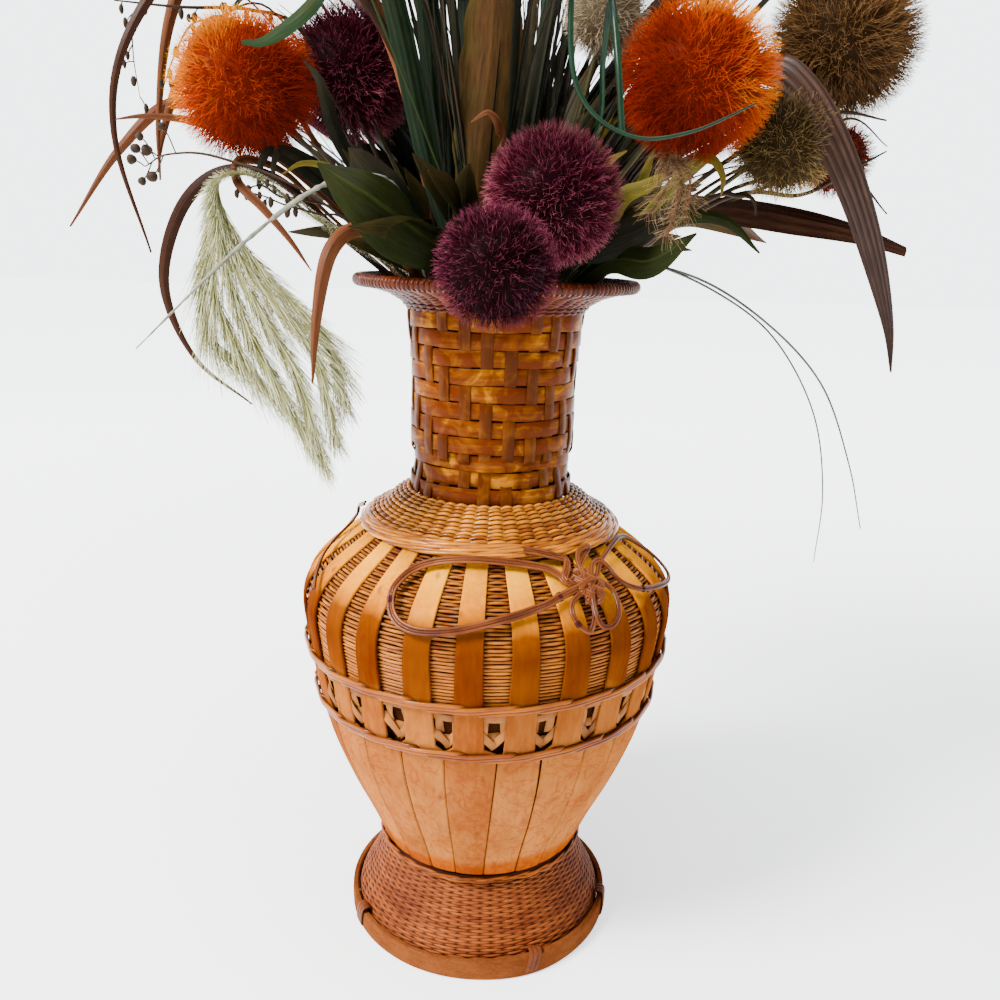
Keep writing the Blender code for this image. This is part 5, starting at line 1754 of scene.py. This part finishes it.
# painted shade: the near-black leaf colours below also darken the leaves for the shade deep in the bunch
sedge_shade_skin = leaf_finish(
    "sedge_shade_skin", (0.0025, 0.0040, 0.0022), (0.0060, 0.0080, 0.0040), (0.018, 0.014, 0.008), (0.010, 0.012, 0.006),
    gloss=0.5,
)
dull_shade_skin = leaf_finish(
    "dull_leaf_skin", (0.0050, 0.0075, 0.0020), (0.010, 0.016, 0.004), (0.030, 0.020, 0.006), (0.020, 0.028, 0.007),
    gloss=0.45, mottle=0.8,
)
NECK_MOUTH = 0.400
GOLDEN_SHARE, GOLDEN_TURN = 0.618, 137.5
STEMS_ALL_ROUND, STEMS_BEHIND = 150, 100
BUSH_DEPTH = (-0.125, 0.130)
BUSH_REACH = (-0.150, 0.200)


def springing(azimuth, root, lean, length, droop, turn):
    """The route of something that springs from the neck, leans out and bends over at its end."""
    start = [polar(azimuth, root * 0.7, 0.330), polar(azimuth, root, NECK_MOUTH)]
    out, rise = math.sin(math.radians(lean)), math.cos(math.radians(lean))
    reach = []
    for share in (0.25, 0.5, 0.75, 1.0):
        far = root + length * out * share * (1 + 0.3 * share)
        height = NECK_MOUTH + length * (rise * share - droop * share ** 2.5)
        spot = polar(azimuth + turn * share, far, height)
        spot.y = min(max(spot.y, BUSH_DEPTH[0]), BUSH_DEPTH[1])
        spot.x = min(max(spot.x, BUSH_REACH[0]), BUSH_REACH[1])
        reach.append(spot)
    return start + reach


OPEN_TO_VIEW = [(centre, radius) for name, centre, radius, _, _ in FLOWER_HEADS if not name.endswith(OUT_OF_SIGHT)]
OPEN_TO_VIEW += [
    ((-0.010, -0.036, 0.472), 0.011), ((-0.008, -0.039, 0.497), 0.016), ((-0.006, -0.044, 0.525), 0.017),
    ((-0.006, -0.050, 0.552), 0.015),
]


def hides_a_head(route):
    """Whether something would pass before one of the flower heads at the front, or before the olive leaf."""
    eye = Vector(CAMERA_PLACE)
    for centre, radius in OPEN_TO_VIEW:
        sight = Vector(centre) - eye
        for point in route[3:]:
            share = (point - eye).dot(sight) / sight.length_squared
            if share < 1.0 and (eye + sight * share - point).length < radius * share:
                return True
    return False


def spread_leaves(name, count, seed, finish, leans, lengths, widths, droops, columns, spans, sector=(0, 360), **form):
    """Many leaves in one piece, spread evenly round the neck or over a sector of it."""
    chance = random.Random(seed)
    shape = bmesh.new()
    for k in range(count):
        azimuth = sector[0] + (k * GOLDEN_SHARE % 1) * (sector[1] - sector[0]) + chance.uniform(-20, 20)
        lean = chance.uniform(*leans)
        points = springing(
            azimuth, 0.036 * math.sqrt(chance.random()), lean, chance.uniform(*lengths), chance.uniform(*droops),
            chance.uniform(-25, 25),
        )
        width = chance.uniform(*widths)
        if hides_a_head(smooth_route(points, spans)):
            continue
        table = [(0.0, width * 0.35), (0.35, width * 0.7), (0.65, width), (0.88, width * 0.6), (1.0, 0.0006)]
        facing = polar(azimuth + chance.uniform(-70, 70), 1, chance.uniform(-0.2, 0.9))
        leaf_surface(
            shape, smooth_route(points, spans), table, facing,
            dict(form, columns=columns, waves=chance.choice((2, 3)), twist=chance.uniform(-60, 60)), chance.random(),
        )
    made = plain_mesh(name, shape, finish, smooth_angle=60)
    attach(made, "root")
    return made


sedge = spread_leaves(
    "sedge", 230, 171, sedge_shade_skin, (3, 34), (0.13, 0.245), (0.0025, 0.0052), (0.0, 0.25), 3, 4, fold=0.5,
)
dull_leaves = spread_leaves(
    "dull_leaves", 60, 172, dull_shade_skin, (24, 62), (0.045, 0.100), (0.012, 0.022), (0.0, 0.35), 7, 4, fold=0.3,
    wave=0.12,
)

backing = spread_leaves(
    "backing_sedge", 210, 174, sedge_shade_skin, (8, 50), (0.12, 0.235), (0.003, 0.0065), (0.0, 0.25), 3, 4,
    sector=(105, 255), fold=0.5,
)
backing_leaves = spread_leaves(
    "backing_leaves", 64, 175, dull_shade_skin, (12, 44), (0.060, 0.135), (0.012, 0.024), (0.0, 0.2), 5, 4,
    sector=(95, 265), fold=0.3, wave=0.12,
)

bare_chance = random.Random(173)
bare_strands = []
for k in range(STEMS_ALL_ROUND + STEMS_BEHIND):
    azimuth = (k * GOLDEN_TURN + 60) % 360 if k < STEMS_ALL_ROUND else 90 + k * 111.2 % 180
    lean = bare_chance.uniform(4, 52)
    points = springing(
        azimuth, 0.034 * math.sqrt(bare_chance.random()), lean,
        bare_chance.uniform(0.11, 0.17 if lean > 30 else 0.24), bare_chance.uniform(-0.05, 0.2),
        bare_chance.uniform(-30, 30),
    )
    route = smooth_route(points, 3)
    size = bare_chance.uniform(0.5, 1.2)
    if hides_a_head(route):
        continue
    widths = [size * (1 - 0.7 * i / len(route)) for i in range(len(route))]
    bare_strands.append((route, carried_sides(route), bare_chance.random(), False, widths))
bare_finish = cane_finish("bare_stem", (0.040, 0.020, 0.009), (0.008, 0.007, 0.004), gloss=0.6, coat=0.0, groove_shade=0.3)
bare_stems = lay_cane("bare_stems", bare_strands, bare_finish, 0.0020, 0.0020, 5)
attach(bare_stems, "root")


# Loose blades, small leaves and twigs --------------------------------------------------------------------------
# Odd bits tucked in round the edge: copper blades, small leaves of several greens, and dark twigs
# with oval seeds.

LOOSE_BLADES = {
    "copper_loose": (copper_skin, "copper_blade"),
    "yellow_green_leaves": (fresh_skin, "ribbon_green"),
    "dusky_leaves": (sedge_shade_skin, "leaf_green"),
    "tan_leaf": (copper_skin, "olive_leaf"),
}
LOOSE_LEAVES = [
    ("copper_loose", (-84, 0.034), 0.0055, (0.1, -1, 0.4), mm(
        (-109, 0, 451), (-134, -6, 467), (-158, -12, 475), (-183, -16, 477), (-201, -20, 474),
    )),
    ("copper_loose", (-70, 0.038), 0.0050, (0.4, -1, 0.2), mm(
        (-91, -10, 430), (-113, -20, 451), (-132, -30, 456), (-133, -38, 445), (-119, -44, 432), (-105, -48, 417),
        (-94, -50, 402),
    )),
    ("copper_loose", (-96, 0.030), 0.0070, (0.3, -1, 0.0), mm(
        (-103, 30, 467), (-130, 30, 513), (-157, 20, 530), (-175, 10, 498), (-184, 5, 470), (-188, 5, 450),
    )),
    ("yellow_green_leaves", (40, 0.030), 0.0100, (0, -1, 0.5), mm(
        (53, -30, 424), (62, -40, 443), (73, -45, 449), (85, -45, 456),
    )),
    ("yellow_green_leaves", (48, 0.030), 0.0075, (0.2, -1, 0.2), mm(
        (65, -20, 430), (73, -30, 450), (77, -30, 462), (79, -30, 468),
    )),
    ("yellow_green_leaves", (56, 0.032), 0.0065, (0, -1, 0.1), mm(
        (74, -30, 433), (95, -45, 458), (104, -50, 462), (110, -52, 454), (110, -52, 444),
    )),
    ("yellow_green_leaves", (30, 0.026), 0.0080, (0.1, -1, 0.6), mm((48, -20, 440), (54, -30, 459), (64, -35, 466))),
    ("yellow_green_leaves", (26, 0.022), 0.0075, (0.1, -1, 0.5), mm((48, -10, 448), (50, -20, 472), (62, -30, 485))),
    ("yellow_green_leaves", (-50, 0.030), 0.0050, (0.2, -1, 0.5), mm(
        (-63, -20, 431), (-82, -30, 451), (-99, -35, 455), (-110, -38, 449),
    )),
    ("yellow_green_leaves", (-30, 0.016), 0.0085, (0.2, -1, 0.3), mm(
        (-45, 20, 483), (-59, 20, 524), (-71, 10, 535), (-76, 10, 539),
    )),
    ("dusky_leaves", (-72, 0.032), 0.0070, (0.1, -1, 0.1), mm(
        (-91, -10, 443), (-115, -30, 460), (-121, -35, 455), (-124, -35, 443),
    )),
    ("dusky_leaves", (-68, 0.032), 0.0065, (-0.2, -1, 0.1), mm(
        (-91, -10, 446), (-110, -30, 461), (-115, -34, 456), (-116, -34, 443),
    )),
    ("dusky_leaves", (-64, 0.030), 0.0080, (0.1, -1, 0.2), mm(
        (-80, -10, 459), (-89, -30, 485), (-91, -35, 494), (-99, -35, 503),
    )),
    ("dusky_leaves", (-44, 0.036), 0.0260, (0.5, -1, 0.3), mm(
        (-43, -30, 423), (-58, -35, 443), (-70, -35, 457), (-77, -35, 463),
    )),
    ("dusky_leaves", (24, 0.036), 0.0180, (0.1, -1, 0.5), mm(
        (32, -50, 410), (52, -50, 419), (71, -50, 428), (87, -50, 436),
    )),
    ("tan_leaf", (-6, 0.016), 0.0060, (0, -1, 0.6), mm(
        (-4, -20, 450), (0, -45, 470), (-6, -50, 480), (-15, -50, 475),
    )),
]
for name, (finish, slot) in LOOSE_BLADES.items():
    shape = bmesh.new()
    leaves = [leaf for kind, *leaf in LOOSE_LEAVES if kind == name]
    for number, (place, width, facing, points) in enumerate(leaves):
        route = smooth_route([neck_slot(*place)[1], *points], 7)
        table = [(0.0, 0.0015), (0.35, width * 0.4), (0.7, width), (0.9, width * 0.6), (1.0, 0.0006)]
        leaf_surface(shape, route, table, facing, {"fold": 0.35, "columns": 7, "wave": 0.06}, number / 7)
    loose = plain_mesh(name, shape, finish, smooth_angle=60)
    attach(loose, "root")

TWIGS = [
    ((-78, 0.030), mm((-79, 20, 482), (-109, 10, 525), (-133, 0, 532), (-166, -10, 530), (-198, -15, 531)), 1.2),
    (
        (-80, 0.028),
        mm((-87, 0, 485), (-123, 0, 533), (-149, -10, 525), (-161, -12, 521), (-170, -15, 504), (-175, -15, 492)),
        0.7,
    ),
    (
        (-84, 0.026),
        mm((-92, 0, 485), (-133, 0, 536), (-166, -10, 539), (-187, -14, 528), (-190, -15, 508), (-188, -15, 486)),
        0.6,
    ),
    ((-66, 0.038), mm((-81, -20, 429), (-100, -30, 437), (-112, -34, 438), (-121, -36, 443), (-130, -38, 441)), 0.9),
    ((-60, 0.039), mm((-77, -30, 426), (-92, -36, 430), (-109, -40, 434), (-120, -40, 438), (-131, -40, 439)), 0.7),
    ((-50, 0.036), mm((-51, -30, 424), (-74, -45, 444), (-84, -50, 455), (-94, -52, 464)), 1.6),
    ((96, 0.034), mm((121, 0, 445), (168, 10, 450), (195, 12, 464), (215, 15, 475)), 1.4),
    ((92, 0.036), mm((121, 0, 448), (164, 0, 458), (191, 0, 461), (214, 0, 441)), 1.3),
    ((88, 0.030), mm((109, 0, 455), (150, 0, 482), (181, 0, 492), (207, 0, 489)), 1.5),
    ((100, 0.030), mm((119, 20, 454), (163, 20, 474), (194, 20, 492), (217, 20, 478)), 1.1),
    ((84, 0.036), mm((108, -10, 442), (128, -15, 447), (135, -18, 445), (137, -18, 437)), 1.5),
]
SEEDED_TWIGS = 5
twig_strands, seed_places = [], []
seed_chance = random.Random(181)
for number, (place, points, size) in enumerate(TWIGS):
    strand = stem_strand(place, points, 0.4, [size, size, size * 0.9, size * 0.75, size * 0.35], spans=8)
    twig_strands.append(strand)
    if number < SEEDED_TWIGS:
        for step in range(22, len(strand[0]), 3):
            side = Vector([seed_chance.uniform(*span) for span in ((-1, 1), (-0.5, 0.5), (-1.2, 0.4))])
            start, end = strand[0][step], strand[0][step] + side * 0.0045
            path = [start, start.lerp(end, 0.5) + Vector((0, 0, 0.0006)), end]
            twig_strands.append((path, carried_sides(path), 0.3, False, [0.4, 0.4, 0.3]))
            seed_places.append(end)
twigs = lay_cane("seed_twigs", twig_strands, bare_finish, 0.0018, 0.0018, 6)
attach(twigs, "root")


# Grass wires and lichen twig -----------------------------------------------------------------------------------
# Two green and two grey wiry grasses hang in long arcs, thick as string. A dead twig with grey lichen
# crosses the left side.

WIRES = {
    "grass_wire_loop": (
        "green_grass_wire", (8, 0.018),
        mm(
            (20, -60, 540), (28, -104, 560), (28, -112, 500), (36, -116, 475), (56, -121, 463), (80, -121, 466),
            (106, -119, 478),
        ),
        [1.3, 1.5, 1.8, 1.7, 1.4, 1.1, 0.9, 0.5],
    ),
    "grass_wire_second": (
        "green_grass_wire", (12, 0.020),
        mm((43, -60, 463), (44, -90, 498), (45, -100, 519), (48, -113, 494), (51, -118, 465)),
        [1.3, 1.5, 1.9, 2.0, 1.9, 1.7],
    ),
    "grass_wire_long_left": (
        "grey_grass_wire", (50, 0.034),
        mm(
            (46, -30, 411), (80, -12, 411.5), (120, -12, 397), (152, -22, 374), (176, -30, 335), (187, -30, 290),
            (187, -30, 248),
        ),
        [1.2, 1.2, 1.0, 0.8, 0.7, 0.6, 0.5, 0.3],
    ),
    "grass_wire_long_right": (
        "grey_grass_wire", (104, 0.034),
        mm((62, 26, 410), (114, 28, 404), (158, 22, 380), (196, 20, 344), (219, 20, 296), (232, 20, 254)),
        [1.2, 1.2, 1.0, 0.9, 0.8, 0.6, 0.4],
    ),
}
green_wire_finish = cane_finish("green_wire", (0.014, 0.060, 0.026), (0.005, 0.022, 0.010), gloss=0.4, coat=0.5)
grey_wire_finish = cane_finish("grey_wire", (0.105, 0.125, 0.095), (0.040, 0.050, 0.038), gloss=0.45, coat=0.1)
for node, (slot, place, points, swells) in WIRES.items():
    wire = lay_cane(
        f"{node}_stem", [stem_strand(place, points, 0.5, swells, spans=10)],
        green_wire_finish if slot == "green_grass_wire" else grey_wire_finish, 0.0017, 0.0015, 7,
    )
    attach(wire, "root")
    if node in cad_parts:
        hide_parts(node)

lichen_finish = cane_finish(
    "lichen_bark", (0.26, 0.26, 0.20), (0.060, 0.056, 0.040), gloss=0.8, coat=0.0, patch=180.0,
)
twig_chance = random.Random(131)
twig_points = mm((-50, -50, 442), (-78, -76, 444), (-117, -86, 416), (-166, -102, 366))
twig_route, twig_sides, twig_tone, _, twig_swells = stem_strand(
    (-56, 0.041), twig_points, 0.4, [1.0, 1.0, 1.0, 0.8, 0.25], spans=20,
)
twig_swells = [swell * twig_chance.uniform(0.72, 1.25) for swell in twig_swells]
lichen_twig = lay_cane(
    "lichen_twig_bark", [(twig_route, twig_sides, twig_tone, False, twig_swells)], lichen_finish, 0.0024, 0.0023, 9,
)
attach(lichen_twig, "root")
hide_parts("lichen_twig")


# Pampas plume and grass spikes -------------------------------------------------------------------------------
# A soft cream plume hangs over the left side, its silky hairs swept along it. Two dark grass spikes
# stand above the flowers, with short bristles all round.


def fringe_tree():
    """A tree that sets hairs along lines, swept towards the tip, and lays a stalk under them."""
    tree = bpy.data.node_groups.new("fringe", "GeometryNodeTree")
    given = add_sockets(tree, {
        "Geometry": None, "Step": 0.001, "Length": 0.02, "Width": 0.0003, "Bend": 0.004, "Least Lean": 0.2,
        "Most Lean": 0.8, "Stalk": 0.002, "Seed": 1, "Finish": None,
    })
    line = add_node(tree, "GeometryNodeMeshToCurve", {"Mesh": given["Geometry"]})
    swell = add_node(tree, "GeometryNodeInputNamedAttribute", {"Name": "swell"}, data_type="FLOAT")
    dots = add_node(tree, "GeometryNodeCurveToPoints", {"Curve": line, "Length": given["Step"]}, mode="LENGTH")
    hair = hair_nodes(tree, given["Width"], 0.3, given["Bend"])
    least = add_node(tree, "ShaderNodeCombineXYZ", {0: given["Least Lean"]})
    most = add_node(tree, "ShaderNodeCombineXYZ", {0: given["Most Lean"], 2: math.tau})
    length = maths(tree, "MULTIPLY", maths(tree, "MULTIPLY", any_value(tree, 4, 0.55), given["Length"]), swell)
    stalk = along_lines(tree, line, circle(tree, 6), given["Stalk"])
    return end_hairy_tree(tree, given, dots, hair, least, most, length, 9, stalk.outputs[0])


fringe = fringe_tree()
plume_finish = hair_finish(
    "plume_hairs", (0.17, 0.16, 0.055), (0.36, 0.35, 0.15), (0.72, 0.70, 0.46), (0.12, 0.115, 0.035), shade_share=0.3,
    gloss=0.5,
)
PLUME_LOCKS = [
    mm((-142, -42, 444), (-147, -46, 420), (-148, -55, 396), (-144, -62, 372), (-132, -66, 358)),
    mm((-141, -43, 444), (-144, -50, 415), (-140, -60, 387), (-126, -66, 358), (-111, -70, 340)),
    mm((-141, -44, 444), (-140, -52, 416), (-129, -60, 382), (-111, -70, 350), (-93, -78, 321)),
    mm((-141, -45, 444), (-138, -50, 416), (-122, -60, 387), (-101, -70, 354), (-85, -80, 311)),
    mm((-141, -44, 444), (-136, -48, 418), (-116, -57, 391), (-92, -66, 364), (-79, -76, 324)),
    mm((-141, -43, 444), (-135, -45, 421), (-113, -52, 395), (-87, -60, 369), (-76, -68, 341)),
]
PLUME_STALK = mm((-48, -18, 400), (-90, -32, 425), (-124, -36, 447))
PLUME_SWELLS = [(0.0, 0.0), (0.34, 0.0), (0.42, 0.35), (0.7, 1.0), (0.9, 0.9), (1.0, 0.5)]
plume_strands = []
for lock in PLUME_LOCKS:
    route = smooth_route([*PLUME_STALK, *lock], 8)
    swells = [value_at(PLUME_SWELLS, i / (len(route) - 1)) for i in range(len(route))]
    plume_strands.append((route, carried_sides(route), 0.5, False, swells))
plume = lay(
    "plume_hairs", plume_strands, fringe,
    {
        "Step": 0.00014, "Length": 0.038, "Width": 0.00046, "Bend": 0.003, "Least Lean": 0.02, "Most Lean": 0.30,
        "Stalk": 0.0014, "Seed": 141, "Finish": plume_finish,
    },
)
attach(plume, "root")
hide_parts("plume_pampas")

tuft_finish = hair_finish(
    "tuft_hairs", (0.090, 0.034, 0.020), (0.22, 0.105, 0.065), (0.46, 0.34, 0.16), (0.08, 0.07, 0.02), gloss=0.6,
)
TUFTS = [
    mm((81, -50, 465), (86, -70, 451), (83, -80, 438), (79, -85, 425)),
    mm((82, -50, 465), (89, -68, 455), (90, -75, 443), (87, -80, 432)),
    mm((79, -50, 464), (81, -66, 450), (76, -72, 441), (72, -74, 435)),
]
tuft_strands = []
for points in TUFTS:
    route = smooth_route(points, 8)
    swells = [0.6 + 0.4 * math.sin(i) for i in range(len(route))]
    tuft_strands.append((route, carried_sides(route), 0.5, False, swells))
grass_tuft = lay(
    "grass_tuft", tuft_strands, fringe,
    {
        "Step": 0.00016, "Length": 0.017, "Width": 0.00022, "Bend": 0.004, "Least Lean": 0.3, "Most Lean": 1.1,
        "Stalk": 0.0012, "Seed": 143, "Finish": tuft_finish,
    },
)
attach(grass_tuft, "root")

spike_finish = hair_finish(
    "spike_bristles", (0.010, 0.008, 0.004), (0.028, 0.022, 0.010), (0.090, 0.070, 0.030), (0.008, 0.006, 0.003),
)
for node, slot, points in (
    ("tall_grass_middle", (84, 0.010), mm((18, 30, 470), (36, 72, 600), (52, 88, 700), (66, 96, 756))),
    ("tall_grass_back", (-118, 0.027), mm((-50, 50, 500), (-80, 78, 620), (-108, 96, 706), (-128, 108, 742))),
):
    spike = lay(
        f"{node}_bristles", [stem_strand(slot, points, 0.5, [0, 0, 0.6, 1.0, 0.5])], fringe,
        {
            "Step": 0.0003, "Length": 0.014, "Width": 0.0005, "Bend": 0.0015, "Least Lean": 0.2, "Most Lean": 0.7,
            "Stalk": 0.0026, "Seed": 151, "Finish": spike_finish,
        },
    )
    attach(spike, "root")
    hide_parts(node)


# Berry sprig -------------------------------------------------------------------------------------------------
# A thin dark stem that forks near its end and carries a few round dry berries, each on its own short stalk.

BERRY_ROUTE = mm((-90, -40, 436), (-135, -56, 454), (-160, -58, 455), (-172, -58, 449))
berry_chance = random.Random(161)
sprig_strands = [stem_strand((-88, 0.031), BERRY_ROUTE, 0.4, [1, 1, 0.9, 0.7, 0.4])]
sprig_route = sprig_strands[0][0]
BERRIES = [(18, 0.012), (20, -0.010), (22, 0.010), (23, -0.009), (24, 0.007), (25, 0.003), (21, 0.003)]
berry_places = []
for step, rise in BERRIES:
    start = sprig_route[min(step, len(sprig_route) - 1)]
    end = start + Vector((-0.006, berry_chance.uniform(-0.004, 0.002), rise))
    path = smooth_route([start, start.lerp(end, 0.5) + Vector((0, -0.001, rise * 0.2)), end], 4)
    sprig_strands.append((path, carried_sides(path), 0.3, False, [0.45] * len(path)))
    berry_places.append(end)
sprig_finish = cane_finish("sprig_stem", (0.060, 0.035, 0.020), (0.025, 0.014, 0.009), gloss=0.6, coat=0.0)
sprig = lay_cane("berry_sprig_stems", sprig_strands, sprig_finish, 0.0016, 0.0016, 6)
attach(sprig, "root")
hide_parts("berry_sprig")


def round_berries(name, places, radius, finish, seed, stretch=1.0):
    """Small round berries, each a little uneven and drawn to a point below. stretch makes them oval seeds."""
    chance = random.Random(seed)
    shape = bmesh.new()
    for place in places:
        size = radius * chance.uniform(0.8, 1.15)
        made = bmesh.ops.create_icosphere(shape, subdivisions=2, radius=size)["verts"]
        for vertex in made:
            x, y, z = vertex.co / size
            vertex.co *= 1 + 0.08 * math.sin(4 * x + place[0] * 900) + 0.25 * max(-z - 0.8, 0)
            vertex.co.z *= stretch
            vertex.co += Vector(place)
    return plain_mesh(name, shape, finish, smooth_angle=80)


berries = round_berries("berries", berry_places, 0.0024, sprig_finish, 162)
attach(berries, "root")
oval_seeds = round_berries("oval_seeds", seed_places, 0.0014, sprig_finish, 163, stretch=1.9)
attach(oval_seeds, "root")
